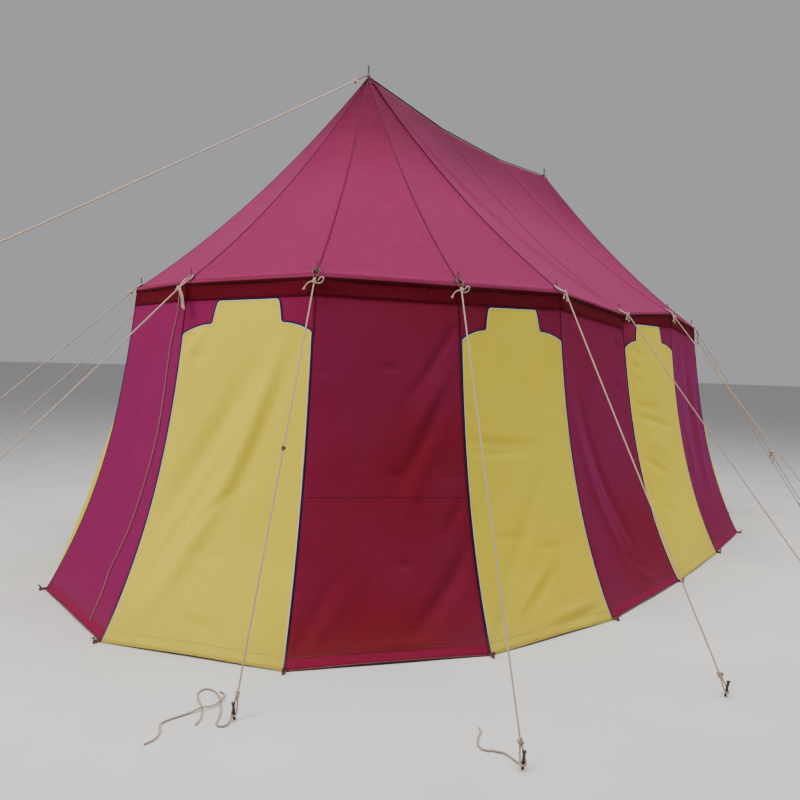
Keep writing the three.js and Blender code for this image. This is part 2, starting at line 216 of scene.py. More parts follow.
class Shell:
    """Collects grid surfaces and makes one mesh object of them."""

    def __init__(self) -> None:
        """Starts with no surface."""
        self.points: list[Array] = []
        self.faces: list[list[int]] = []
        self.places: list[Array] = []
        self.slots: list[int] = []
        self.count = 0

    def add(self, points: Array, places: Array | None = None, ring: bool = False, caps: bool = False,
            slot: int = 0) -> None:
        """Adds one grid, whose outer side is where rows crossed with columns point.

        Args:
            points: Rows by columns by 3.
            places: Rows by columns by 2, the texture's place in metres.
            ring: Whether the last column lies on the first.
            caps: Whether the first and last rows are closed with a face.
            slot: The material's number.
        """
        rows, columns = points.shape[:2]
        used = columns - 1 if ring else columns
        places = np.zeros((rows, columns, 2)) if places is None else places
        index = np.arange(rows * used).reshape(rows, used) + self.count
        if ring:
            index = np.concatenate([index, index[:, :1]], axis=1)
        corners = [np.s_[:-1, :-1], np.s_[1:, :-1], np.s_[1:, 1:], np.s_[:-1, 1:]]
        quads = np.stack([index[corner] for corner in corners], -1).reshape(-1, 4)
        self.places.append(np.stack([places[corner] for corner in corners], -2).reshape(-1, 2))
        self.faces += quads.tolist()
        if caps:
            self.faces += [index[0, :used].tolist(), index[-1, :used][::-1].tolist()]
            self.places += [places[0, :used], places[-1, :used][::-1]]
        self.slots += [slot] * (len(quads) + 2 * caps)
        self.points.append(points[:, :used].reshape(-1, 3))
        self.count += rows * used

    def sweep(self, section: Section, path: Array, normals: Array | None = None, slot: int = 0,
              closed: bool = False) -> None:
        """Adds a section that is carried along a path.

        Args:
            section: The section.
            path: Points of the centre line.
            normals: Normals of the path, carried along it if none are given.
            slot: The material's number.
            closed: Whether the path ends where it starts, and so needs no caps.
        """
        points, places = section.carry(path, carried_normals(path) if normals is None else normals)
        if closed:
            points[-1] = points[0]
        self.add(points, places, ring=True, caps=not closed, slot=slot)

    def build(self, name: str, materials: list, slot: str, thickness: float = 0.0, weld: bool = False,
              stands_for: str = "") -> bpy.types.Object:
        """Makes the mesh object.

        Args:
            name: The object's name.
            materials: Its materials, in the order of the slot numbers.
            slot: The record's material slot that it belongs to. Not used.
            thickness: Cloth thickness that is given inwards, or 0 for a closed shell.
            weld: Whether points that lie together are merged.
            stands_for: The frame's node whose place it takes, if any.

        Returns:
            The object, at the origin, riding on the frame.
        """
        mesh = bpy.data.meshes.new(name)
        mesh.from_pydata(np.concatenate(self.points).tolist(), [], self.faces)
        layer = mesh.uv_layers.new(name="places")
        layer.data.foreach_set("uv", np.concatenate(self.places).astype(np.float32).ravel())
        mesh.polygons.foreach_set("material_index", self.slots)
        mesh.polygons.foreach_set("use_smooth", [True] * len(self.faces))
        for material in materials:
            mesh.materials.append(material)
        if weld:
            work = bmesh.new()
            work.from_mesh(mesh)
            bmesh.ops.remove_doubles(work, verts=work.verts, dist=2e-5)
            work.to_mesh(mesh)
            work.free()
        mesh.update()
        piece = bpy.data.objects.new(name, mesh)
        bpy.context.scene.collection.objects.link(piece)
        if thickness:
            solid = piece.modifiers.new("thickness", "SOLIDIFY")
            solid.thickness = thickness
            solid.offset = -1
        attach(piece, BODY)
        if stands_for:
            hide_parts(stands_for)
        return piece


def turned(profile: list, foot: Array, sides: int, lean: Array | tuple = (0.0, 0.0)) -> Array:
    """A turned piece: a profile of radius and height carried round an upright axis.

    Args:
        profile: Radius and height of each ring, from the bottom up.
        foot: The axis' place on the ground.
        sides: Steps round the axis.
        lean: How far the axis leans in x and y for each metre of height.

    Returns:
        Rings by sides + 1 by 3, from the top ring down, so that the outer side faces out.
    """
    radius, height = np.array(profile[::-1], float).T[:, :, None]
    angle = np.linspace(0, 2 * np.pi, sides + 1)[None, :]
    x = foot[0] + lean[0] * height + radius * np.cos(angle)
    y = foot[1] + lean[1] * height + radius * np.sin(angle)
    return stacked(x, y, height)


# The tent's plan and section


@dataclass
class TentPlan:
    """Plan and section of the tent, as the frame has them."""

    end_spacing: float = 3.2
    eave_radius: float = 1.605
    side_bow: float = 0.069
    side_gores: int = 3
    corner_step: int = 30
    eave_height: float = 1.99
    eave_overhang: float = 0.006
    eave_drop: float = 0.005
    peaks: tuple = ((-1.567, 3.672), (1.529, 3.617))
    ridge_sag: float = 0.095
    roof_hollow: float = 0.28
    wall_top: float = 1.9876
    base_flare: float = 0.505
    flare_straight_share: float = 0.45
    side_pole_inset: float = 0.02045
    count: int = 18
    pitch: tuple = (
        (0, -4, -24, 81, 63), (0, 4, 6, 33, 10), (-5, -16, -10, -73, 21), (14, 10, 23, -59, -17),
        (-8, -3, -38, -27, 76), (27, 12, 46, -64, 148), (17, 10, -20, -33, 100), (0, 0, 0, -50, 0),
        *((0,) * 5,) * 9, (-6, -1, -18, 36, 74))

    def __post_init__(self) -> None:
        """Works out the corners: ridge point, even place, eave point, outward direction and pitch of each.

        A corner's pitch, in millimetres, is how far its eave stands out, round and up from its even place,
        and how far the foot of its wall is pegged out and round.
        """
        side, step = np.arange(1, self.side_gores) / self.side_gores, self.corner_step
        sides = [np.full(len(side), middle) for middle in (270, 90)]
        share = np.concatenate([np.zeros(4), side, np.ones(7), 1 - side, np.zeros(3)])
        angle = np.radians(np.concatenate([np.arange(180, 271, step), sides[0], np.arange(270, 451, step),
                                           sides[1], np.arange(90, 151, step)]))
        hump = 4 * share * (1 - share)
        first, last = np.array(self.peaks)
        self.ridge = first + (last - first) * share[:, None] - np.outer(hump, [0, self.ridge_sag])
        self.facing = stacked(np.cos(angle), np.sin(angle))
        sideways = stacked(-np.sin(angle), np.cos(angle))
        out, slide, self.rise, pull, drift = np.array(self.pitch, float).T[:, :, None] / 1000
        reach = (self.eave_radius + self.side_bow * hump)[:, None]
        self.even = np.outer(share - 0.5, [self.end_spacing, 0]) + self.facing * reach
        self.eave = self.even + self.facing * out + sideways * slide
        self.foot_pull = self.facing * pull + sideways * drift
        self.reach = reach + out
        self.roof_edge = self.eave_height + self.eave_drop

    def carry(self, values: Array, turn: Array) -> Array:
        """Values of the corners, carried in a straight line from each corner to the next.

        Args:
            values: One row for each corner.
            turn: Places round the tent.

        Returns:
            The values at those places.
        """
        first = np.floor(turn).astype(int)
        part = (turn - first)[..., None]
        return values[first % self.count] * (1 - part) + values[(first + 1) % self.count] * part

    def ground(self, turn: Array, offset: Array | float = 0.0) -> Array:
        """Plan points at a distance outside the eave line."""
        turn, offset = matched(turn, offset)
        return self.carry(self.eave, turn) + self.carry(self.facing, turn) * offset[..., None]

    def rise_at(self, turn: Array | float) -> Array:
        """How far the eave stands above its even height."""
        return self.carry(self.rise, np.asarray(turn, float))[..., 0]

    def run_out(self, turn: Array | float) -> Array:
        """How far the wall's top stands from its ridge point."""
        return self.carry(self.reach, np.asarray(turn, float))[..., 0] - self.eave_overhang

    def roof(self, turn: Array, share: Array) -> Array:
        """Points of the roof's seams and of straight lines between them.

        From the ridge to the wall a seam runs evenly outwards, and falls below a straight line by a parabola.

        Args:
            turn: Places round the tent.
            share: 0 at the ridge, 1 over the wall.

        Returns:
            The points.
        """
        turn, share = matched(turn, share)
        ridge = self.carry(self.ridge, turn)
        wall = self.ground(turn, -self.eave_overhang)
        low = self.roof_edge + self.rise_at(turn)
        fall = 1 - share - self.roof_hollow * share * (1 - share)
        x = ridge[..., 0] + (wall[..., 0] - ridge[..., 0]) * share
        return stacked(x, wall[..., 1] * share, low + (ridge[..., 1] - low) * fall)

    def wall(self, turn: Array | float, height: Array | float) -> Array:
        """Points of the wall's outer face.

        Down the wall the flare grows by a straight share and a cubic one. Heights count on an even wall, and
        stretch with the rise of the eave.

        Args:
            turn: Places round the tent.
            height: Heights on a wall of even height.

        Returns:
            The points.
        """
        turn, height = matched(turn, height)
        share = 1 - height / self.wall_top
        flare = self.flare_straight_share * share + (1 - self.flare_straight_share) * share**3
        plan = self.ground(turn, self.base_flare * flare - self.eave_overhang)
        plan = plan + self.carry(self.foot_pull, turn) * flare[..., None]
        return np.concatenate([plan, (height * self.stretch(turn))[..., None]], -1)

    def stretch(self, turn: Array | float) -> Array:
        """The wall's height as a multiple of the even height."""
        return 1 + self.rise_at(turn) / self.wall_top

    def spike(self, corner: int) -> Array:
        """The point where the side pole's axis meets the roof's face inside a corner."""
        height = self.roof_edge + self.rise[corner, 0] + self.side_pole_inset * self.eave_slope(corner)
        return np.append(self.ground(corner, -self.eave_overhang - self.side_pole_inset), height)

    def eave_slope(self, corner: int) -> float:
        """How far the roof rises for each metre inwards at a corner."""
        rise = self.ridge[corner, 1] - self.roof_edge - self.rise[corner, 0]
        return float(rise * (1 - self.roof_hollow) / self.run_out(corner))


# Shared shader groups


class Wiring:
    """Adds nodes to a tree and links them."""

    def __init__(self, tree: bpy.types.NodeTree) -> None:
        """Holds the tree that is worked on."""
        self.tree = tree

    def node(self, kind: str, **values: object) -> bpy.types.Node:
        """Adds a node and sets its properties."""
        made = self.tree.nodes.new(f"ShaderNode{kind}")
        for name, value in values.items():
            setattr(made, name, value)
        return made

    def put(self, target: bpy.types.NodeSocket, value: object) -> None:
        """Feeds a socket from another socket, or sets it to a plain value."""
        if isinstance(value, bpy.types.NodeSocket):
            self.tree.links.new(value, target)
        else:
            target.default_value = value

    def fill(self, node: bpy.types.Node, **values: object) -> bpy.types.Node:
        """Feeds a node's inputs by their names, in which _ stands for a space."""
        for name, value in values.items():
            self.put(node.inputs[name.replace("_", " ")], value)
        return node

    def math(self, way: str, *values: object) -> bpy.types.NodeSocket:
        """The outcome of a math node."""
        made = self.node("Math", operation=way)
        for target, value in zip(made.inputs, values):
            self.put(target, value)
        return made.outputs[0]

    def ramp(self, value: object, low: float, high: float, first: float = 0.0,
             last: float = 1.0) -> bpy.types.NodeSocket:
        """A value mapped smoothly from low..high to first..last."""
        made = self.node("MapRange", interpolation_type="SMOOTHSTEP")
        self.fill(made, Value=value, From_Min=low, From_Max=high, To_Min=first, To_Max=last)
        return made.outputs["Result"]

    def mix(self, share: object, first: object, second: object, way: str = "MIX") -> bpy.types.NodeSocket:
        """Two colours mixed by a share."""
        made = self.node("Mix", data_type="RGBA", blend_type=way)
        for index, value in ((0, share), (6, first), (7, second)):
            self.put(made.inputs[index], value)
        return made.outputs[2]

    def noise(self, vector: object, scale: object, detail: float = 2.0,
              rough: float = 0.5) -> bpy.types.NodeSocket:
        """A noise value between 0 and 1."""
        made = self.fill(self.node("TexNoise"), Vector=vector, Scale=scale, Detail=detail, Roughness=rough)
        return made.outputs["Fac"]

    def stretch(self, vector: object, scale: tuple[float, float, float]) -> bpy.types.NodeSocket:
        """A place multiplied by a scale on each axis."""
        return self.fill(self.node("Mapping"), Vector=vector, Scale=scale).outputs["Vector"]

    def split(self, vector: object) -> list:
        """The x, y and z of a vector."""
        return list(self.fill(self.node("SeparateXYZ"), Vector=vector).outputs)

    def bump(self, height: object, distance: float, strength: float = 1.0,
             **normal: bpy.types.NodeSocket) -> bpy.types.NodeSocket:
        """A normal that a height bends, after another normal if one is given as Normal."""
        made = self.fill(self.node("Bump"), Strength=strength, Distance=distance, Height=height, **normal)
        return made.outputs["Normal"]

    def place(self, group: bpy.types.NodeTree, **values: object) -> list:
        """Places a shared group with its own values, and returns what it puts out."""
        return list(self.fill(self.node("Group", node_tree=group), **values).outputs)

    def where(self) -> bpy.types.NodeSocket:
        """The place on the tent in metres."""
        return self.node("TexCoord").outputs["Object"]

    def places(self) -> bpy.types.NodeSocket:
        """The place on the cloth or along the rope, as the mesh has it."""
        return self.node("UVMap", uv_map="places").outputs["UV"]


def new_group(name: str, inputs: dict, outputs: str) -> tuple:
    """Makes a shader node group.

    Args:
        name: The group's name.
        inputs: The value of each input of a number. Every group also has the input Place, a vector.
        outputs: The names of its outputs, all numbers.

    Returns:
        Its wiring, its output node and the sockets that it is given, Place first.
    """
    group = bpy.data.node_groups.new(name, "ShaderNodeTree")
    group.interface.new_socket(name="Place", in_out="INPUT", socket_type="NodeSocketVector")
    for entry, value in inputs.items():
        made = group.interface.new_socket(name=entry, in_out="INPUT", socket_type="NodeSocketFloat")
        made.default_value = value
    for entry in outputs.split():
        group.interface.new_socket(name=entry, in_out="OUTPUT", socket_type="NodeSocketFloat")
    given, out = group.nodes.new("NodeGroupInput"), group.nodes.new("NodeGroupOutput")
    return Wiring(group), out, *(given.outputs[entry] for entry in ("Place", *inputs))


def weave_group() -> bpy.types.NodeTree:
    """Plain weave: threads that cross over and under, with thicker and thinner stretches.

    Returns:
        The group.
    """
    w, out, place, pitch = new_group("Weave", {"Pitch": 0.0011}, "Height Tone")
    x, y, _ = w.split(place)
    turn = w.math("DIVIDE", 2 * math.pi, pitch)
    over, under = (w.math("SINE", w.math("MULTIPLY", axis, turn)) for axis in (x, y))
    height = w.math("MULTIPLY_ADD", w.math("MULTIPLY", over, under), 0.5, 0.5)
    warp, weft = (w.noise(w.stretch(place, scale), 1.0, 1.0) for scale in ((420, 9, 1), (9, 420, 1)))
    w.fill(out, Height=height, Tone=w.math("MULTIPLY", w.math("ADD", warp, weft), 0.5))
    return w.tree


def weather_group() -> bpy.types.NodeTree:
    """Sun and rain on cloth: wide faded patches, fine specks, and dust that rises from the ground.

    Returns:
        The group.
    """
    w, out, place, scale, dust_height = new_group(
        "Weather", {"Scale": 0.8, "Dust Height": 0.25}, "Patches Specks Dust Creases")
    patches = w.ramp(w.noise(place, scale, 3.0, 0.55), 0.32, 0.68)
    specks = w.ramp(w.noise(place, 46.0, 4.0, 0.7), 0.58, 0.74)
    height = w.split(place)[2]
    ragged = w.math("MULTIPLY_ADD", w.noise(place, 6.0, 4.0, 0.6), -0.22, height)
    dust = w.ramp(ragged, dust_height, -0.14)
    wide = w.noise(w.stretch(place, (5.0, 5.0, 2.2)), 1.0, 3.0, 0.5)
    fine = w.noise(w.stretch(place, (16.0, 16.0, 9.0)), 1.0, 3.0, 0.55)
    w.fill(out, Patches=patches, Specks=specks, Dust=dust, Creases=w.math("MULTIPLY_ADD", fine, 0.35, wide))
    return w.tree


def strand_group() -> bpy.types.NodeTree:
    """Laid rope: dark grooves between the strands and fine fibres along them.

    Returns:
        The group.
    """
    w, out, place, strands, lay = new_group("Strands", {"Strands": 3.0, "Lay": 0.045}, "Groove Fibre")
    around, along, _ = w.split(place)
    turns = w.math("SUBTRACT", around, w.math("DIVIDE", along, lay))
    phase = w.math("MULTIPLY", turns, w.math("MULTIPLY", strands, math.pi))
    groove = w.ramp(w.math("ABSOLUTE", w.math("COSINE", phase)), 0.45, 0.0)
    join = w.node("CombineXYZ")
    w.fill(join, X=w.math("MULTIPLY", turns, 60.0), Y=w.math("MULTIPLY", along, 90.0))
    w.fill(out, Groove=groove, Fibre=w.noise(join.outputs[0], 1.0, 3.0, 0.6))
    return w.tree


def wear_group() -> bpy.types.NodeTree:
    """Rust and rubbed places on steel, and grain and knocks on wood: two noises of different size.

    Returns:
        The group.
    """
    w, out, place, scale = new_group("Wear", {"Scale": 60.0}, "Stain Grit")
    w.fill(out, Stain=w.ramp(w.noise(place, scale, 4.0, 0.6), 0.4, 0.66),
           Grit=w.noise(w.stretch(place, (6.0, 6.0, 6.0)), 120.0, 3.0, 0.6))
    return w.tree


def paint(code: str) -> tuple[float, float, float, float]:
    """A colour given as six hex digits of screen red, green and blue, made linear."""
    screen = np.array(list(bytes.fromhex(code))) / 255
    linear = np.where(screen <= 0.04045, screen / 12.92, ((screen + 0.055) / 1.055) ** 2.4)
    return (*linear.tolist(), 1.0)


# Finishes


def new_material(name: str) -> tuple[bpy.types.Material, Wiring, bpy.types.Node]:
    """A material with an empty Principled shader, its wiring and that shader."""
    material = bpy.data.materials.new(name)
    material.use_nodes = True
    return material, Wiring(material.node_tree), material.node_tree.nodes["Principled BSDF"]


@dataclass(frozen=True)
class CanvasFinish:
    """Woven cotton canvas, faded in patches and dusty at the foot, with optional painted light: a paler lower
    part, a sky tint on one side and a lit hem.
    """

    name: str
    colour: str
    faded: str
    dust: str = "8d7c68"
    fade_amount: float = 0.5
    dust_amount: float = 0.35
    dust_height: float = 0.2
    speck_amount: float = 0.09
    # Fading and painted light: how far the cloth turns to the faded colour between low_to and low_from,
    # leaving the top darker
    low_light: float = 0.0
    low_from: float = 2.0
    low_to: float = 3.4
    crease_depth: float = 0.006
    weave_depth: float = 0.00035
    weave_strength: float = 0.7
    weave_tone: tuple = (0.9, 1.07)
    roughness: float = 0.86
    worn_roughness: float = 0.08
    sheen: float = 0.0
    sheen_tint: str = "d0a0e0"
    # Painted highlight on the hem: the colour, top and blur of a paler strip at the foot
    foot: str = ""
    foot_top: float = 0.052
    foot_blur: float = 0.004
    # Painted light: a paler, more magenta tint that grows along Y, standing in for pink sky light on that
    # side
    bleached: str = ""
    bleach_from: float = -1.2
    bleach_to: float = -0.3
    bleach_share: float = 0.85

    def make(self, groups: dict) -> bpy.types.Material:
        """Builds the material.

        Args:
            groups: The shared shader groups by name.

        Returns:
            The material.
        """
        material, w, shader = new_material(self.name)
        place = w.where()
        height, tone = w.place(groups["weave"], Place=w.places())
        patches, specks, dust, creases = w.place(groups["weather"], Place=place, Dust_Height=self.dust_height)
        colour = w.mix(w.math("MULTIPLY", patches, self.fade_amount), paint(self.colour), paint(self.faded))
        # Partly fading and partly painted light: paler towards the eave, darker towards the peaks
        if self.low_light:
            low = w.ramp(w.split(place)[2], self.low_to, self.low_from, 0.0, self.low_light)
            colour = w.mix(low, colour, paint(self.faded))
        # Painted light: the red turns paler and more magenta towards positive Y, as if lit by a pink sky
        if self.bleached:
            side = w.ramp(w.split(place)[1], self.bleach_from, self.bleach_to, 0.0, self.bleach_share)
            colour = w.mix(side, colour, paint(self.bleached))
        tone = w.ramp(tone, 0.25, 0.75, *self.weave_tone)
        shade = w.fill(w.node("CombineColor"), Red=tone, Green=tone, Blue=tone)
        colour = w.mix(1.0, colour, shade.outputs[0], "MULTIPLY")
        colour = w.mix(w.math("MULTIPLY", dust, self.dust_amount), colour, paint(self.dust))
        # Painted highlight: a paler strip at the foot, where the hem turns out into the light
        if self.foot:
            edges = self.foot_top + self.foot_blur, self.foot_top - self.foot_blur
            colour = w.mix(w.ramp(w.split(place)[2], *edges), colour, paint(self.foot))
        colour = w.mix(w.math("MULTIPLY", specks, self.speck_amount), colour, paint(self.dust))
        rough = w.ramp(patches, 0, 1, self.roughness, self.roughness + self.worn_roughness)
        w.fill(shader, Base_Color=colour, Roughness=rough, Sheen_Weight=self.sheen, Sheen_Roughness=0.4,
               Sheen_Tint=paint(self.sheen_tint), Specular_IOR_Level=0.05)
        folded = w.bump(creases, self.crease_depth)
        w.fill(shader, Normal=w.bump(height, self.weave_depth, self.weave_strength, Normal=folded))
        return material


@dataclass(frozen=True)
class TapeFinish:
    """Woven tape or stitched seam: fine ribs across its length and two rows of stitches."""

    name: str
    colour: str
    edge: str
    dust: str = "857560"
    dust_amount: float = 0.4
    rib: float = 0.0016
    stitch: float = 0.006
    stitch_height: float = 0.35
    depth: float = 0.0003
    roughness: float = 0.7
    worn_roughness: float = 0.1

    def make(self, groups: dict) -> bpy.types.Material:
        """Builds the material.

        Args:
            groups: The shared shader groups by name.

        Returns:
            The material.
        """
        material, w, shader = new_material(self.name)
        place, places = w.where(), w.places()
        patches, _, dust, _ = w.place(groups["weather"], Place=place, Dust_Height=0.06)
        along = w.split(places)[1]
        ribs, rows = (w.math("SINE", w.math("MULTIPLY", along, 2 * math.pi / step))
                      for step in (self.rib, self.stitch))
        stitch = w.ramp(rows, 0.1, 0.5, 0.0, self.stitch_height)
        colour = w.mix(patches, paint(self.colour), paint(self.edge))
        colour = w.mix(w.math("MULTIPLY", stitch, 0.5), colour, paint(self.edge))
        colour = w.mix(w.math("MULTIPLY", dust, self.dust_amount), colour, paint(self.dust))
        rough = w.ramp(patches, 0, 1, self.roughness, self.roughness + self.worn_roughness)
        w.fill(shader, Base_Color=colour, Roughness=rough, Specular_IOR_Level=0.1,
               Normal=w.bump(w.math("MULTIPLY_ADD", ribs, 0.5, stitch), self.depth))
        return material


@dataclass(frozen=True)
class RopeFinish:
    """Laid cotton rope, off-white, darker in its grooves."""

    name: str
    colour: str
    groove: str
    dirt: str
    groove_amount: float = 0.75
    dirt_amount: float = 0.22

    def make(self, groups: dict) -> bpy.types.Material:
        """Builds the material.

        Args:
            groups: The shared shader groups by name.

        Returns:
            The material.
        """
        material, w, shader = new_material(self.name)
        place, places = w.where(), w.places()
        groove, fibre = w.place(groups["strands"], Place=places)
        patches, _, dust, _ = w.place(groups["weather"], Place=place, Dust_Height=0.12, Scale=3.0)
        colour = w.mix(w.ramp(fibre, 0.3, 0.7, 0.0, 0.5), paint(self.colour), paint(self.dirt))
        colour = w.mix(w.math("MULTIPLY", groove, self.groove_amount), colour, paint(self.groove))
        dirty = w.math("MULTIPLY", w.math("ADD", patches, dust), self.dirt_amount)
        w.fill(shader, Base_Color=w.mix(dirty, colour, paint(self.dirt)),
               Roughness=w.ramp(fibre, 0, 1, 0.82, 0.95), Sheen_Weight=0.2, Normal=w.bump(fibre, 0.0006))
        return material


@dataclass(frozen=True)
class SteelFinish:
    """Mild steel, dark with handling and rusty in patches."""

    name: str
    colour: str
    rust: str
    metallic: float = 0.85

    def make(self, groups: dict) -> bpy.types.Material:
        """Builds the material.

        Args:
            groups: The shared shader groups by name.

        Returns:
            The material.
        """
        material, w, shader = new_material(self.name)
        stain, grit = w.place(groups["wear"], Place=w.where())
        w.fill(shader, Base_Color=w.mix(stain, paint(self.colour), paint(self.rust)),
               Metallic=w.ramp(stain, 0, 1, self.metallic, 0.15), Roughness=w.ramp(stain, 0, 1, 0.42, 0.85),
               Normal=w.bump(grit, 0.0004))
        return material


@dataclass(frozen=True)
class WoodFinish:
    """Turned and oiled softwood with long grain."""

    name: str
    colour: str
    grain: str
    knock: str = "4a3826"
    knock_amount: float = 0.25

    def make(self, groups: dict) -> bpy.types.Material:
        """Builds the material.

        Args:
            groups: The shared shader groups by name.

        Returns:
            The material.
        """
        material, w, shader = new_material(self.name)
        place = w.where()
        stain, _ = w.place(groups["wear"], Place=place, Scale=9.0)
        grain = w.noise(w.stretch(place, (70.0, 70.0, 1.6)), 1.0, 4.0, 0.6)
        colour = w.mix(w.ramp(grain, 0.35, 0.65), paint(self.colour), paint(self.grain))
        colour = w.mix(w.math("MULTIPLY", stain, self.knock_amount), colour, paint(self.knock))
        w.fill(shader, Base_Color=colour, Roughness=w.ramp(grain, 0.3, 0.7, 0.55, 0.75),
               Normal=w.bump(grain, 0.0006))
        return material


class Finishes:
    """Every material of the tent, made once from the shared groups."""

    def __init__(self) -> None:
        """Makes the groups and the materials."""
        groups = {"weave": weave_group(), "weather": weather_group(), "strands": strand_group(),
                  "wear": wear_group()}
        # The roof is painted paler towards the eave, partly as fading and partly as painted light that leaves
        # the peaks darker
        self.roof = CanvasFinish("roof_canvas", "4a0820", "762046", fade_amount=0.3, dust_amount=0.0,
                                 low_light=0.9, low_from=2.5, low_to=3.5, crease_depth=0.010,
                                 sheen=0.11).make(groups)
        # The red carries painted light: a sky tint towards positive Y, and a paler painted highlight on the
        # hem at its foot
        self.red = CanvasFinish("red_canvas", "6e1820", "742044", fade_amount=0.7, dust="74343c",
                                dust_amount=0.25, sheen=0.1, sheen_tint="c060ff", foot="7c1c38",
                                bleached="7c1b4c").make(groups)
        # The band is doubled cloth, and its dark colour is also painted shade under the eave
        self.band = CanvasFinish("band_canvas", "4e0a14", "5a1024", dust_amount=0.0).make(groups)
        self.yellow = CanvasFinish("yellow_canvas", "ceba30", "d4c544", fade_amount=0.6, dust="a89250",
                                   dust_amount=0.28, crease_depth=0.005, sheen=0.02,
                                   sheen_tint="e0ffc0").make(groups)
        (self.roof_seam, self.taut_seam, self.hem_edge, self.patch, self.red_tape, self.piping, self.edging,
         self.pale_tape) = (TapeFinish(*entry).make(groups) for entry in (
             # The seams are darker than the roof as painted shadow along their folds, the taut ones most
             ("roof_seam", "4a0c26", "58122e"), ("taut_seam", "3c081c", "4c1026"),
             # The hem's edge is a paler painted highlight; the patch cloth also serves as painted shadow on
             # the hem roll
             ("hem_edge", "7a2a44", "883650"), ("corner_patch", "2e0410", "3a0816"),
             ("red_tape", "5a0f1c", "64142a"), ("blue_piping", "12173a", "1c2248"),
             ("cream_edging", "dcd4ac", "d2c890"), ("pale_tape", "c6b440", "beac48")))
        self.rope = RopeFinish("guy_rope", "b39c8a", "6c5a4a", "8e7866").make(groups)
        self.old_rope = RopeFinish("old_rope", "5e4434", "2e2018", "4a3426").make(groups)
        self.thin_rope = RopeFinish("thin_rope", "96685e", "5a3c38", "7a5450").make(groups)
        self.steel = SteelFinish("dark_steel", "4a423c", "4f2b1b").make(groups)
        self.wood = WoodFinish("pole_wood", "9c7748", "7c5a33").make(groups)


# Roof


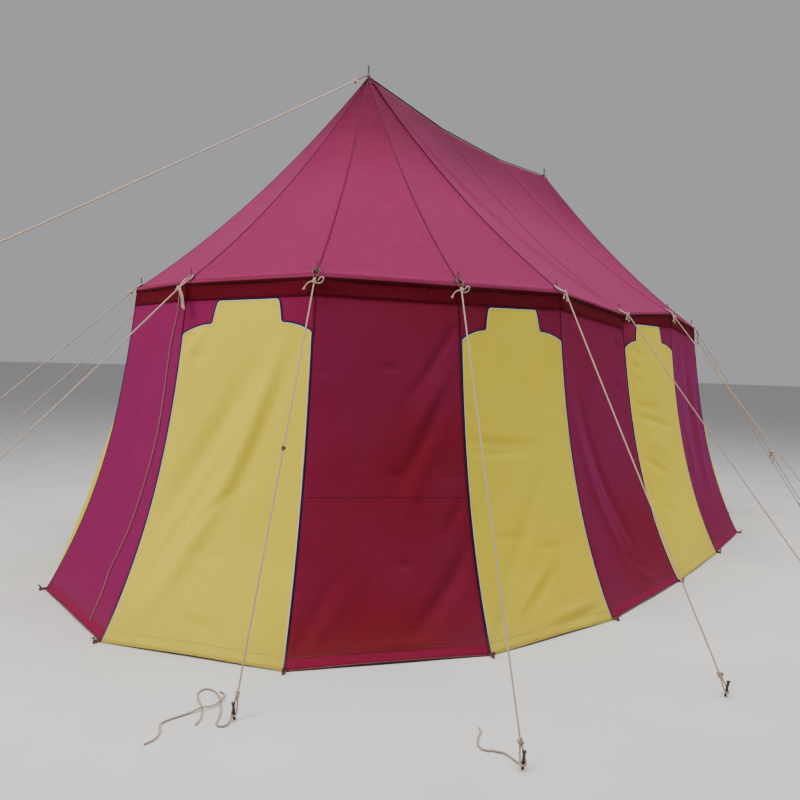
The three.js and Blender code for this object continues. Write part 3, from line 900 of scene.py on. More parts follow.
@dataclass
class Canopy:
    """The roof: one sewn sheet with seams, a turned-down hem, peak caps and corner patches."""

    plan: TentPlan
    finishes: Finishes
    first_share: float = 0.006
    rows: int = 62
    end_columns: int = 20
    side_columns: int = 34
    side_gores: tuple = (3, 4, 5, 12, 13, 14)
    thickness: float = 0.002
    end_dip: float = 0.012
    side_dip: float = 0.022
    creases: tuple = ((3, True), (5, False), (12, True), (14, False))
    crease_height: float = 0.026
    crease_width: float = 0.04
    crease_slant: float = 0.97
    taut_seams: tuple = (3, 6, 12, 15)
    ridge_height: float = 0.014
    wave_height: float = 0.0025
    hem_share: float = 0.018
    hem_step: float = 0.0016
    lip: tuple = ((0.0012, 0.003), (0.0042, 0.008), (0.0050, 0.014), (0.0045, 0.021))
    lip_turn: float = 0.011
    seam: Section = Section(0.0046, 0.0012, squareness=0.6)
    seam_ends: tuple = (0.03, 1.002)
    ridge_seam: Section = Section(0.009, 0.0016, squareness=0.7)
    ridge_ends: tuple = (3.02, 5.98)
    roll: Section = Section(0.0038, 0.0038)
    cap_rings: tuple = (0.0085, 0.020, 0.030, 0.040, 0.048, 0.052)
    cap_proud: float = 0.0035
    cap_edge: float = 0.0025
    patch_proud: float = 0.003
    patch_radii: tuple = (0.006, 0.024)
    patch_down: float = 0.78
    patch_across: float = 0.82
    eye: Section = Section(0.0028, 0.0016)
    eye_radius: float = 0.0085
    eye_proud: float = 0.0045

    def lift(self, turn: Array, share: Array) -> Array:
        """How far the cloth stands off straight lines between the seams, outwards.

        Each gore hangs in by a parabola across it and a sine down it. In four side gores a crease runs from
        the peak to the far corner of the gore, where it stands out by a falling exponential of the distance,
        and so do the four seams where the side's gores meet those of the ends.

        Args:
            turn: Places round the tent.
            share: Shares of the way down.

        Returns:
            The offsets in metres.
        """
        gore = np.floor(turn).astype(int) % self.plan.count
        across = turn - np.floor(turn)
        down = np.clip(share, 0, 1)
        is_side = np.isin(gore, self.side_gores)
        dip = np.where(is_side, self.side_dip * arch(down) ** 0.8, self.end_dip * down * (1 - down**8))
        offset = -dip * 4 * across * (1 - across)
        for number, forward in self.creases:
            distance = np.abs(across - (down if forward else 1 - down)) * self.crease_slant
            shape = np.exp(-distance / self.crease_width) * arch(down) ** 0.35
            offset = offset + np.where(gore == number, self.crease_height * shape, 0)
        for corner in self.taut_seams:
            shape = np.exp(-np.abs(turn - corner) / self.crease_width) * arch(down) ** 0.5
            offset = offset + self.ridge_height * shape
        waves = np.sin(turn * 5.3 + share * 9) * np.sin(turn * 2.1 - share * 5.7) * self.wave_height
        return offset + waves * arch(down) * (arch(across) ** 0.5)

    def surface(self, turn: Array | float, share: Array, proud: float = 0.0) -> tuple[Array, Array]:
        """Points of the cloth's outer face and its outward normals, from steps down it and across it.

        Args:
            turn: Places round the tent.
            share: Shares of the way down.
            proud: A distance off the cloth.

        Returns:
            The points and the normals.
        """
        turn, share = matched(turn, share)
        step = 1e-3
        down = self.plan.roof(turn, share + step) - self.plan.roof(turn, share - step)
        across = self.plan.roof(turn + step, share) - self.plan.roof(turn - step, share)
        normals = unit(np.cross(down, across))
        offset = self.lift(turn, share) + proud
        return self.plan.roof(turn, share) + normals * offset[..., None], normals

    def lip_row(self, turn: Array, out: float, drop: float) -> Array:
        """Points of the hem's lip, which turns in under the eave between the corners by a sine."""
        turned_in = self.lip_turn * drop / self.lip[-1][1] * arch(turn - np.floor(turn))
        x, y = np.moveaxis(self.plan.ground(turn, out - turned_in), -1, 0)
        return stacked(x, y, self.plan.eave_height + self.plan.rise_at(turn) - drop)

    def gore(self, number: int) -> tuple[Array, Array]:
        """Grid of one gore, from the ridge to the eave, with its lip as the last rows.

        Past the wall, where the share is 1, the rows go on to the eave's edge. The hem stands off by a step.

        Args:
            number: The gore's number.

        Returns:
            The grid's points and its texture places.
        """
        columns = self.side_columns if number in self.side_gores else self.end_columns
        across = np.linspace(0, 1, columns + 1)[None, :]
        turn = number + across
        last = 1 + self.plan.eave_overhang / self.plan.run_out(turn)
        hem = 1 - self.hem_share
        steps = np.sort([*np.linspace(0, 1, self.rows), hem - 0.0015, hem, hem + 0.0015])[:, None]
        points, normals = self.surface(turn, self.first_share + (last - self.first_share) * steps)
        points = points + normals * (smooth_step(steps, hem - 0.001, hem + 0.001) * self.hem_step)[..., None]
        points = np.concatenate([points, *(self.lip_row(turn, out, drop) for out, drop in self.lip)])
        width = np.linalg.norm(points[:, -1] - points[:, 0], axis=-1)[:, None]
        run = np.linalg.norm(np.diff(points, axis=0, prepend=points[:1]), axis=-1).mean(1).cumsum()[:, None]
        return points, stacked((across - 0.5) * width + number, run)

    def build_cloth(self) -> bpy.types.Object:
        """Builds the sheet from its gores, welded along the seams and the ridge.

        Returns:
            The piece.
        """
        shell, lip = Shell(), len(self.lip)
        for number in range(self.plan.count):
            points, places = self.gore(number)
            for slot, rows in enumerate((np.s_[:-lip], np.s_[-lip - 1:-lip + 2], np.s_[-lip + 1:])):
                shell.add(points[rows], places[rows], slot=slot)
        # The hem's edge takes a paler cloth as a painted highlight, and the lip below it the dark band cloth
        # as painted shade under the eave
        finishes = [self.finishes.roof, self.finishes.hem_edge, self.finishes.band]
        return shell.build("canopy_cloth", finishes, "roof_canvas", self.thickness, True, "roof_canopy")

    def build_seams(self) -> bpy.types.Object:
        """Builds the felled seams, from the ridge to the eave at every corner and along the ridge.

        Returns:
            The piece.
        """
        shell = Shell()
        for corner in range(self.plan.count):
            path = self.surface(corner, np.linspace(*self.seam_ends, 56), 0.001)
            shell.sweep(self.seam, *path, slot=int(corner in self.taut_seams))
        shell.sweep(self.ridge_seam, self.plan.roof(np.linspace(*self.ridge_ends, 60), 0.0) + UP * 0.0015, UP)
        # Painted shadow: the seams are darker than the roof, the taut ones darkest
        finishes = [self.finishes.roof_seam, self.finishes.taut_seam]
        return shell.build("canopy_seams", finishes, "roof_canvas")

    def build_roll(self) -> bpy.types.Object:
        """Builds the rolled edge that closes the hem's lip all round the eave.

        Returns:
            The piece.
        """
        out, drop = self.lip[-1]
        turn = np.linspace(0, self.plan.count, self.plan.count * 14 + 1)
        shell = Shell()
        shell.sweep(self.roll, self.lip_row(turn, out - 0.001, drop), UP, closed=True)
        # Painted shadow: the roll takes the near-black patch cloth to stand for the shade under the roof's
        # edge
        return shell.build("canopy_hem_roll", [self.finishes.patch], "roof_canvas", weld=True)

    def build_caps(self) -> bpy.types.Object:
        """Builds the stitched caps that guard the cloth at both peaks.

        A cap follows the roof: it falls with the distance outwards on the end's side of the pole, and on
        the ridge's side only with the distance from the ridge. Its last ring is pressed down.

        Returns:
            The piece.
        """
        shell, plan = Shell(), self.plan
        radius = np.array(self.cap_rings)[:, None]
        angle = np.linspace(0, 2 * np.pi, 61)[None, :]
        outward, sideways = radius * np.cos(angle), radius * np.sin(angle)
        for side, (peak_x, peak_z), corner in zip((-1, 1), plan.peaks, (3, 6)):
            step = plan.ridge[corner - side] - plan.ridge[corner]
            run = (plan.eave_radius - plan.eave_overhang
                   + (plan.end_spacing / 2 - abs(peak_x)) * np.maximum(np.cos(angle), 0))
            steep = (peak_z - plan.roof_edge) * (1 + plan.roof_hollow) / run
            along_ridge = steep * np.abs(sideways) + outward * step[1] / abs(step[0])
            height = peak_z - np.where(outward > 0, steep * radius, along_ridge) + self.cap_proud
            height[-1] -= self.cap_edge
            points = stacked(peak_x + side * outward, side * sideways, height)
            shell.add(points, stacked(angle * 0.05, radius), ring=True)
        return shell.build("peak_caps", [self.finishes.patch], "roof_canvas", 0.0015)

    def ring(self, corner: int, size: Array | float, angle: Array) -> tuple[Array, Array]:
        """Turns and shares of circles round a spike, from metres across a gore and down it."""
        run = self.plan.run_out(corner)
        share = 1 - self.plan.side_pole_inset / run + size * np.cos(angle) / run * self.patch_down
        return corner - size * np.sin(angle) / self.patch_across, share

    def build_patches(self) -> bpy.types.Object:
        """Builds the doubled patches with a steel eye round every spike's hole.

        Returns:
            The piece.
        """
        shell, plan = Shell(), self.plan
        radius = np.linspace(*self.patch_radii, 6)[:, None]
        angle = np.linspace(0, 2 * np.pi, 33)[None, :]
        for corner in range(plan.count):
            turn, share = self.ring(corner, radius, angle)
            edge = 1 + plan.eave_overhang / plan.run_out(turn) - 0.0004
            points, _ = self.surface(turn, np.minimum(share, edge), self.patch_proud)
            shell.add(points, stacked(radius * np.cos(angle), radius * np.sin(angle)), ring=True)
            path, normals = self.surface(*self.ring(corner, self.eye_radius, angle[0]), self.eye_proud)
            path[-1] = path[0]
            shell.sweep(self.eye, path, normals, 1, closed=True)
        finishes = [self.finishes.patch, self.finishes.steel]
        return shell.build("corner_patches", finishes, "roof_canvas", weld=True)

    def make(self) -> None:
        """Builds the whole roof."""
        cloth = self.build_cloth()
        trim = [self.build_seams(), self.build_roll(), self.build_caps(), self.build_patches()]


# Walls


@dataclass(frozen=True)
class Fold:
    """A soft fold in a panel: it runs through three places, each a share across and a height.

    Its height off the cloth falls with the square of the distance from that line, as a bell curve, and dies
    away as a sine towards both ends. A negative height is a valley.
    """

    places: tuple
    height: float
    width: float

    def offset(self, across: Array, height: Array, chord: Array) -> Array:
        """The fold's height off the cloth at places of a panel.

        Args:
            across: Shares across the panel.
            height: Heights over the ground.
            chord: The panel's width at those heights.

        Returns:
            Offsets in metres.
        """
        start, middle, end = np.array(self.places)
        t = np.linspace(0, 1, 25)[:, None]
        line = (1 - t) ** 2 * start + 2 * t * (1 - t) * (2 * middle - (start + end) / 2) + t**2 * end
        line[:, 0] = (line[:, 0] - 0.5) * 0.95
        x, z = (across - 0.5) * chord, height
        best = np.full(np.broadcast(x, z).shape, np.inf)
        share = np.zeros_like(best)
        for index, (first, step) in enumerate(zip(line, np.diff(line, axis=0))):
            part = np.clip(((x - first[0]) * step[0] + (z - first[1]) * step[1]) / (step @ step), 0, 1)
            distance = np.hypot(x - first[0] - part * step[0], z - first[1] - part * step[1])
            share = np.where(distance < best, (index + part) / (len(line) - 1), share)
            best = np.minimum(distance, best)
        return self.height * np.exp(-(best / self.width) ** 2) * arch(share) ** 0.9

    def mirrored(self) -> "Fold":
        """The same fold seen in a mirror."""
        return Fold(tuple((1 - across, height) for across, height in self.places), self.height, self.width)


def fold_set(*rows: tuple) -> tuple[Fold, ...]:
    """Folds from rows: three places in hundredths of the width and of a metre, height and width in mm."""
    return tuple(Fold(((a / 100, b / 100), (c / 100, d / 100), (e / 100, f / 100)), height / 1000,
                      width / 1000) for a, b, c, d, e, f, height, width in rows)


# Long pulls from one top corner to the other foot, with a crisp crease beside them
LONG_PULLS = fold_set(
    (60, 156, 33, 104, 3, 50, -34, 70), (76, 170, 48, 81, 8, 8, 38, 54), (86, 166, 66, 110, 52, 70, -18, 50),
    (51, 109, 28, 68, 11, 35, -12, 22), (58, 84, 40, 67, 30, 52, -20, 19), (22, 173, 15, 161, 8, 145, 12, 24),
    (11, 157, 17, 156, 24, 153, -7, 17), (30, 48, 39, 48, 47, 49, -7, 17), (39, 43, 50, 46, 62, 45, -6, 17),
    (35, 16, 49, 14, 62, 13, -10, 20), (75, 77, 72, 39, 75, 9, -16, 90))
# Weaker folds that leave the far top corner and turn down
CORNER_PULLS = fold_set(
    (95, 184, 79, 156, 56, 124, -12, 24), (94, 160, 76, 133, 60, 106, 9, 30),
    (86, 144, 72, 111, 52, 80, -13, 32), (86, 122, 69, 90, 55, 62, 8, 40), (99, 60, 85, 33, 60, 8, -26, 45),
    (97, 86, 90, 70, 80, 56, -10, 28), (26, 46, 11, 25, 1, 6, -11, 28), (30, 38, 18, 22, 5, 6, 9, 28),
    (44, 150, 51, 150, 58, 150, -7, 17), (49, 92, 56, 92, 63, 92, -7, 17), (51, 45, 58, 45, 66, 44, -8, 17),
    (20, 4.5, 55, 7.5, 85, 6, 6, 20))
# Mostly smooth, with marks of how the cloth was folded away
PACKED_MARKS = fold_set(
    (3, 112, 30, 108, 70, 106, -13, 17), (3, 103.5, 31, 103, 68, 101, -10, 16),
    (14, 56, 32, 55, 50, 53, -8, 16), (65, 87, 42, 55, 19, 28, -18, 50), (68, 36, 47, 23, 28, 12, -18, 25),
    (60, 37, 40, 26, 22, 14, 12, 25), (46, 3, 73, 5, 99, 9, -18, 24), (40, 8, 67, 10, 92, 13, 11, 22),
    (18, 25, 7, 11, 1, 3, -12, 24), (52, 45, 63, 46, 77, 46, -8, 16))
# Pulls that start at the near top corner and spread down the panel
NEAR_PULLS = fold_set(
    (13, 139, 36, 79, 66, 27, -17, 45), (2, 136, 18, 75, 46, 21, 12, 40), (45, 26, 58, 15, 84, 7, 10, 30),
    (37, 35, 47, 25, 67, 18, -8, 22), (80, 175, 88, 174, 98, 173, -6, 18),
    (78, 144, 86, 143, 97, 141, -6, 18))
# Short marks that start at the near border and cross a part of the panel
CROSS_MARKS = fold_set(
    (7, 172, 20, 169, 40, 164, -9, 18), (5, 161, 15, 158, 33, 155, -9, 18),
    (4, 150, 17, 147, 34, 143, -7, 17), (2, 130, 28, 126, 64, 122, -11, 21),
    (3, 120, 43, 114, 94, 103, -14, 23), (3, 89, 33, 79, 69, 67, -14, 26), (2, 82, 5, 61, 17, 40, -12, 28),
    (30, 49, 40, 44, 54, 36, -8, 20), (18, 103, 48, 94, 78, 87, 8, 50))
# One long hollow down the middle
LONG_HOLLOW = fold_set(
    (45, 180, 55, 110, 40, 20, -15, 90), (75, 160, 75, 100, 65, 25, 11, 70), (20, 140, 22, 80, 15, 20, 8, 70))
# Nearly smooth
SHALLOW_HOLLOW = fold_set((45, 180, 55, 110, 40, 20, -8, 90))


@dataclass(frozen=True)
class FieldShape:
    """Outline of a panel's yellow field: a head on two sloping shoulders, and the whole panel below."""

    head_top: float = 1.872
    neck: float = 1.738
    shoulder_end: float = 1.682
    head_half: float = 0.232
    neck_half: float = 0.270
    side_half: float = 0.4945

    def half_widths(self) -> tuple[Array, Array]:
        """Heights from the ground up to the head's top, and half the field's width at each, as a share.

        A shoulder falls with the square of the distance from the neck, and a head's side swells by a power.

        Returns:
            The heights and the halves.
        """
        low = np.linspace(0.0, self.shoulder_end, 84)[:-1]
        part = np.linspace(1, 0, 12)
        lean = np.linspace(0, 1, 10)[1:]
        heights = np.concatenate([low, self.neck - (self.neck - self.shoulder_end) * part**2,
                                  self.neck + (self.head_top - self.neck) * lean])
        halves = np.concatenate([np.full(len(low), self.side_half),
                                 self.neck_half + (self.side_half - self.neck_half) * part,
                                 self.head_half + (self.neck_half - self.head_half) * (1 - lean) ** 0.55])
        return heights, halves


@dataclass
class Wall:
    """The wall: eighteen panels by turns yellow and red, with their band, hems, piping and pegging loops."""

    plan: TentPlan
    finishes: Finishes
    columns: int = 50
    row_step: float = 0.0160
    thickness: float = 0.0014
    edge_fade: float = 0.13
    foot_fade: float = 0.08
    ripple: float = 0.0022
    belly: float = 0.006
    pucker: float = 0.0055
    pucker_reach: float = 0.045
    band_foot: float = 1.876
    band_tilt: float = 0.014
    head_foot: float = 1.60
    mid_seam: float = 0.80
    seamed: tuple = (1, 7)
    hem_top: float = 0.055
    hem_kick: float = 0.007
    kick_height: float = 0.03
    slips: tuple = ((4, 0.052, -0.006),)
    slip_from: float = 1.0
    slip_to: float = 1.6
    bulge_panel: int = 16
    bulge: float = 0.036
    bulge_start: float = 0.010
    bulge_place: float = 0.040
    bulge_foot: float = 0.02
    bulge_height: float = 1.15
    gap: float = 0.009
    foot_clear: float = 0.002
    gap_height: float = 0.12
    field_proud: float = 0.0022
    shape: FieldShape = FieldShape()
    piping: Section = Section(0.0048, 0.0022, squareness=0.8)
    edging: Section = Section(0.0036, 0.0014, sides=6, squareness=0.7)
    edging_inset: float = 0.0088
    seam: Section = Section(0.0042, 0.0012, sides=6, squareness=0.7)
    stitches: Section = Section(0.0016, 0.0008, sides=6)
    binding: Section = Section(0.0030, 0.0022, sides=6, squareness=0.8)
    strap: Section = Section(0.007, 0.0009, squareness=0.6)
    strap_half: tuple = ((-4, 7), (12, 8), (28, 9), (38, 6))
    rod: Section = Section(0.0042, 0.0042)
    rod_line: tuple = ((34, 0), (33.5, 16), (33, 26), (36, 33), (43, 35), (49, 31))
    sets: tuple = (LONG_PULLS, CORNER_PULLS, PACKED_MARKS, NEAR_PULLS, CROSS_MARKS, LONG_HOLLOW)

    def kind(self, panel: int) -> Cloth:
        """Whether a panel is yellow or red."""
        return Cloth.YELLOW if panel % 2 == 0 else Cloth.RED

    def chord(self, panel: int, height: Array) -> Array:
        """Width of a panel at a height."""
        return np.linalg.norm(self.plan.wall(panel + 1, height) - self.plan.wall(panel, height), axis=-1)

    def folds(self, panel: int) -> tuple[Fold, ...]:
        """The folds of a panel. The unseen side repeats those of the side that shows, mirrored."""
        if panel < self.plan.count // 2:
            return self.sets[panel % len(self.sets)]
        number = self.plan.count - 1 - panel
        chosen = self.sets[number % len(self.sets)] if number else SHALLOW_HOLLOW
        return tuple(fold.mirrored() for fold in chosen)

    def lift(self, panel: int, across: Array, height: Array) -> Array:
        """How far a panel's cloth stands off the flat panel, outwards.

        The panel's folds and a shallow belly fade out towards both seams, beside which the cloth puckers in
        short waves. The foot of the wall turns out by a falling exponential of the height, and the band
        leans in towards its top. One panel of the near end stands out beside its seam: past the piping the
        bulge grows with the distance and then dies as an exponential.

        Args:
            panel: The panel's number.
            across: Shares across it.
            height: Heights over the ground.

        Returns:
            Offsets in metres.
        """
        chord = self.chord(panel, height)
        edge = 1 - np.exp(-((arch(across) / self.edge_fade) ** 2))
        low_fade = smooth_step(height, 0.0, self.foot_fade)
        soft = sum(fold.offset(across, height, chord) for fold in self.folds(panel))
        ripple = (np.sin(height * 9.1 + across * 4.3 + panel * 1.7)
                  * np.sin(across * 8.2 - height * 3.1 + panel))
        belly = -self.belly * arch(across) * arch(height / self.plan.wall_top)
        tilt = -self.band_tilt * arch(across) * smooth_step(height, self.band_foot, self.plan.wall_top)
        kick = self.hem_kick * np.exp(-height / self.kick_height) * (0.4 + 0.6 * arch(across))
        beside = np.maximum((1 - across) * chord - self.bulge_start, 0) / self.bulge_place
        reach = arch(np.clip((height - self.bulge_foot) / self.bulge_height, 0, 1)) ** 0.7
        bulge = self.bulge * (panel == self.bulge_panel) * (beside * np.exp(1 - beside)) ** 2 * reach
        border = np.minimum(across, 1 - across) * chord
        wave = np.sin(height * 74 + 3 * np.sin(height * 11 + panel)) * np.sin(height * 17 + panel * 2.3)
        pucker = self.pucker * wave * np.exp(-border / self.pucker_reach) * low_fade
        return (soft * low_fade + ripple * self.ripple + pucker + belly) * edge + tilt + kick + bulge

    def slipped(self, panel: int, across: Array, height: Array | float) -> Array | float:
        """Heights of a panel's field and band, which are sewn on higher at the top of one panel."""
        for number, left, right in self.slips:
            if panel == number:
                rise = smooth_step(height, self.slip_from, self.slip_to)
                height = height + (left + (right - left) * across) * rise
        return height

    def surface(self, panel: int, across: Array | float, height: Array | float, proud: float = 0.0) -> Array:
        """Points of a panel's cloth, a distance proud of its face.

        Args:
            panel: The panel's number.
            across: Shares across it.
            height: Heights over the ground. Between the corners the foot hangs a little clear of it.
            proud: The distance off the cloth.

        Returns:
            The points.
        """
        across, height = matched(across, height)
        step = self.plan.wall(panel + 1, 0.0) - self.plan.wall(panel, 0.0)
        outward = unit(np.array([step[1], -step[0], 0.0]))
        inside = np.clip(across, 1e-6, 1 - 1e-6)
        points = self.plan.wall(panel + inside, height)
        points = points + outward * (self.lift(panel, across, height) + proud)[..., None]
        points[..., 2] += (self.gap * arch(inside) + self.foot_clear) * np.exp(-height / self.gap_height)
        return points

    def normals(self, panel: int, across: Array | float, height: Array | float) -> Array:
        """Outward normals of a panel's cloth, from steps down it and across it."""
        e = 0.004
        down = self.surface(panel, across, height - e) - self.surface(panel, across, height + e)
        left, right = np.maximum(across - e, 0), np.minimum(across + e, 1)
        return unit(np.cross(down, self.surface(panel, right, height) - self.surface(panel, left, height)))

    def flat_size(self, panel: int, low: float, high: float) -> tuple[tuple[float, float], float]:
        """Cut size of a panel between two heights: widest width, length down the cloth, and area."""
        height = np.linspace(high, low, 60)
        steps = np.diff(run_along(self.plan.wall(panel + 0.5, height)))
        width = self.chord(panel, height)
        area = float((steps * (width[1:] + width[:-1]) / 2).sum())
        return (float(width.max()), float(steps.sum())), area

    def hang_red(self, panel: int, name: str, low: float, stands_for: str = "") -> bpy.types.Object:
        """Args:
            panel: The panel's number.
            name: The piece's name, without its number.
            low: The height of its foot.
            stands_for: The frame's node that it replaces, if any.

        Returns:
            The piece.
        """
        top = self.plan.wall_top
        height = np.linspace(top, low, max(int((top - low) / self.row_step), 4) + 1)[:, None]
        across = np.linspace(0, 1, self.columns + 1)[None, :]
        shell = Shell()
        places = stacked((across - 0.5) * self.chord(panel, height), -height)
        shell.add(self.surface(panel, across, height), places)
        cloth = shell.build(f"{name}_{panel + 1:02d}", [self.finishes.red], "red_canvas", self.thickness,
                            stands_for=stands_for)
        flat, area = self.flat_size(panel, low, top)
        return cloth

    def hang_yellow(self, panel: int, stands_for: str) -> None:
        """Builds a yellow panel: its red head, and the yellow field sewn over it.

        Args:
            panel: The panel's number.
            stands_for: The frame's node that the field replaces.
        """
        red = self.hang_red(panel, "wall_head", self.head_foot)
        heights, halves = self.shape.half_widths()
        height, half = heights[::-1, None], halves[::-1, None]
        across = 0.5 + np.linspace(-1, 1, self.columns + 1)[None, :] * half
        points = self.surface(panel, across, self.slipped(panel, across, height), self.field_proud)
        chord = self.chord(panel, height)
        shell = Shell()
        shell.add(points, stacked((across - 0.5) * chord, -height))
        cloth = shell.build(f"wall_cloth_{panel + 1:02d}", [self.finishes.yellow], "yellow_canvas",
                            self.thickness, stands_for=stands_for)
        flat, _ = self.flat_size(panel, 0.0, self.shape.head_top)
        self.build_piping(panel)

    def outline(self, panel: int) -> tuple[Array, Array]:
        """Path of the field's outline, from the foot of its left side over the head to the right foot.

        The corners are rounded by a running mean of the places along the head.

        Args:
            panel: The panel's number.

        Returns:
            Shares across and heights.
        """
        shape, flip = self.shape, [-1, 1]
        heights, halves = shape.half_widths()
        straight_end = shape.shoulder_end - 0.03
        left = np.concatenate([stacked(shape.side_half, np.linspace(straight_end, shape.shoulder_end, 7)),
                               stacked(halves, heights)[heights > shape.shoulder_end]])
        top = stacked(np.linspace(shape.head_half, -shape.head_half, 60)[1:-1], shape.head_top)
        metric = [self.chord(panel, np.array([shape.neck]))[0], 1]
        crown = np.concatenate([left, top, left[::-1] * flip]) * metric
        crown = even_path(stacked(*crown.T, 0.0), 0.0066)[:, :2] / metric
        for _ in range(2):
            crown[1:-1] = (crown[:-2] + crown[1:-1] + crown[2:]) / 3
        side = stacked(shape.side_half, heights[heights < straight_end])
        path = np.concatenate([side, crown, side[::-1] * flip])
        return 0.5 - path[:, 0], path[:, 1]

    def build_piping(self, panel: int) -> list[bpy.types.Object]:
        """Builds the dark piping on the field's outline and the pale edging inside it.

        Args:
            panel: The panel's number.

        Returns:
            Both pieces.
        """
        across, height = self.outline(panel)
        height = self.slipped(panel, across, height)
        normals = self.normals(panel, across, height)
        path = self.surface(panel, across, height, self.field_proud + 0.0006)
        inward = np.cross(unit(np.gradient(path, axis=0)), normals)
        pieces = []
        for name, section, shift, material in (
                ("piping", self.piping, 0.0, self.finishes.piping),
                ("edging", self.edging, self.edging_inset, self.finishes.edging)):
            shell = Shell()
            shell.sweep(section, path + inward * shift, normals)
            pieces.append(shell.build(f"{name}_{panel + 1:02d}", [material], "yellow_canvas"))
        return pieces

    def build_band(self) -> None:
        """Builds the doubled band that runs round the top of the wall."""
        shell = Shell()
        across = np.linspace(0, 1, 15)[None, :]
        for panel in range(self.plan.count):
            foot = self.slipped(panel, across, self.band_foot + 0 * across)
            height = foot + (self.plan.wall_top - 0.001 - foot) * np.linspace(1, 0, 8)[:, None]
            points = self.surface(panel, across, height, self.field_proud + 0.0036)
            shell.add(points, stacked(across * self.chord(panel, height[:, :1]) + panel, -height))
        # The band's dark cloth is doubled cloth and painted shade under the eave
        shell.build("wall_band", [self.finishes.band], "red_canvas", 0.0016, weld=True)

    def build_trim(self) -> None:
        """Builds the upright seams between red cloths, the seams across red panels, the hems and the feet.

        What is sewn to a yellow field is pale and lies on the field.
        """
        seams, feet = Shell(), Shell()
        upright = np.linspace(self.shape.shoulder_end - 0.02, self.band_foot, 12)
        level, foot = np.linspace(0.012, 0.988, 40), np.linspace(0.004, 0.996, 48)
        for panel in range(self.plan.count):
            is_yellow = self.kind(panel) is Cloth.YELLOW
            proud = self.field_proud if is_yellow else 0.0
            path = self.surface(panel, 1e-4, upright, 0.002)
            seams.sweep(self.seam, path, self.normals(panel, 0.01, upright))
            for height in (self.mid_seam, self.hem_top) if panel in self.seamed else (self.hem_top,):
                path = self.surface(panel, level, height, proud + (0.0004 if is_yellow else 0.0006))
                seams.sweep(self.stitches, path, self.normals(panel, level, height), int(is_yellow))
            path = self.surface(panel, foot, 0.0035, proud)
            feet.sweep(self.binding, path, self.normals(panel, foot, 0.005), int(is_yellow))
        for name, shell in (("wall_seams", seams), ("wall_foot_binding", feet)):
            shell.build(name, [self.finishes.red_tape, self.finishes.pale_tape], "red_canvas")

    def build_loops(self) -> None:
        """Builds the webbing loops at the foot of every corner and the small hooked pegs in them.

        Both lines are in millimetres: outwards and sideways for a loop, outwards and up for a peg.
        """
        loops, pegs = Shell(), Shell()
        half = np.array(self.strap_half) / 1000
        strap = np.concatenate([half, [(0.041, 0.0)], half[::-1] * [1, -1]])
        for corner in range(self.plan.count):
            out, side = level_axes(self.plan.facing[corner])
            foot = self.plan.wall(float(corner), 0.0)
            path = smooth_path(placed(strap, foot + UP * 0.011, out, side), 33)
            loops.sweep(self.strap, path, np.cross(unit(np.gradient(path, axis=0)), UP))
            path = smooth_path(placed(np.array(self.rod_line) / 1000, foot, out, UP), 24)
            pegs.sweep(self.rod, path, carried_normals(path, side))
        loops.build("pegging_loops", [self.finishes.red_tape], "red_canvas")
        pegs.build("wall_pegs", [self.finishes.steel], "guy_rope")

    def make(self) -> None:
        """Builds every panel and all that is sewn to it."""
        for panel in range(self.plan.count):
            stands_for = f"wall_panel_{panel + 1:02d}"
            if self.kind(panel) is Cloth.YELLOW:
                self.hang_yellow(panel, stands_for)
            else:
                self.hang_red(panel, "wall_cloth", 0.0, stands_for)
        self.build_band()
        self.build_trim()
        self.build_loops()


# Poles


@dataclass
class Poles:
    """Two centre poles and eighteen side poles of turned wood, each with an iron ferrule and a spike."""

    plan: TentPlan
    finishes: Finishes
    centre_radius: float = 0.030
    centre_spike: float = 0.0068
    centre_rise: float = 0.088
    side_radius: float = 0.0128
    side_spike: float = 0.0039
    side_rise: float = 0.060

    def pole(self, name: str, foot: Array, wood: list, steel: list, sides: int) -> None:
        """Builds one pole and lets it stand for its node.

        Args:
            name: The node's name.
            foot: Its place on the ground.
            wood: The profile of its wood.
            steel: The profile of its ferrule and spike.
            sides: Steps round it.
        """
        shell = Shell()
        for slot, profile in enumerate((wood, steel)):
            shell.add(turned(profile, foot, sides), ring=True, caps=True, slot=slot)
        finishes = [self.finishes.wood, self.finishes.steel]
        shell.build(f"{name}_turned", finishes, "pole_wood", stands_for=name)

    def make(self) -> None:
        """Builds all the poles."""
        r, s = self.centre_radius, self.centre_spike
        for number, (x, peak) in enumerate(self.plan.peaks, 1):
            tip = peak + self.centre_rise
            wood = [(r - 0.003, 0.0), (r, 0.004), (r, 1.4), (r, 2.9), (r - 0.002, peak - 0.15)]
            steel = [(r - 0.004, peak - 0.16), (r - 0.0005, peak - 0.158), (r - 0.0005, peak - 0.06),
                     (r - 0.003, peak - 0.050), (s + 0.003, peak - 0.022), (s, peak - 0.018),
                     (s, tip - 0.016), (s * 0.8, tip - 0.005), (s * 0.35, tip)]
            self.pole(f"centre_pole_{number}", np.array([x, 0.0]), wood, steel, 28)
        r, s = self.side_radius, self.side_spike
        for corner in range(self.plan.count):
            spike = self.plan.spike(corner)
            tip = spike[2] + self.side_rise
            top = self.plan.wall_top + self.plan.rise[corner, 0]
            wood = [(r - 0.002, 0.0), (r, 0.003), (r, 1.0), (r, top - 0.09)]
            steel = [(r - 0.002, top - 0.095), (r, top - 0.093), (r, top - 0.006), (r - 0.002, top),
                     (s, top + 0.001), (s, tip - 0.010), (s * 0.75, tip - 0.003), (s * 0.3, tip)]
            self.pole(f"side_pole_{corner + 1:02d}", spike, wood, steel, 16)


# Ropes

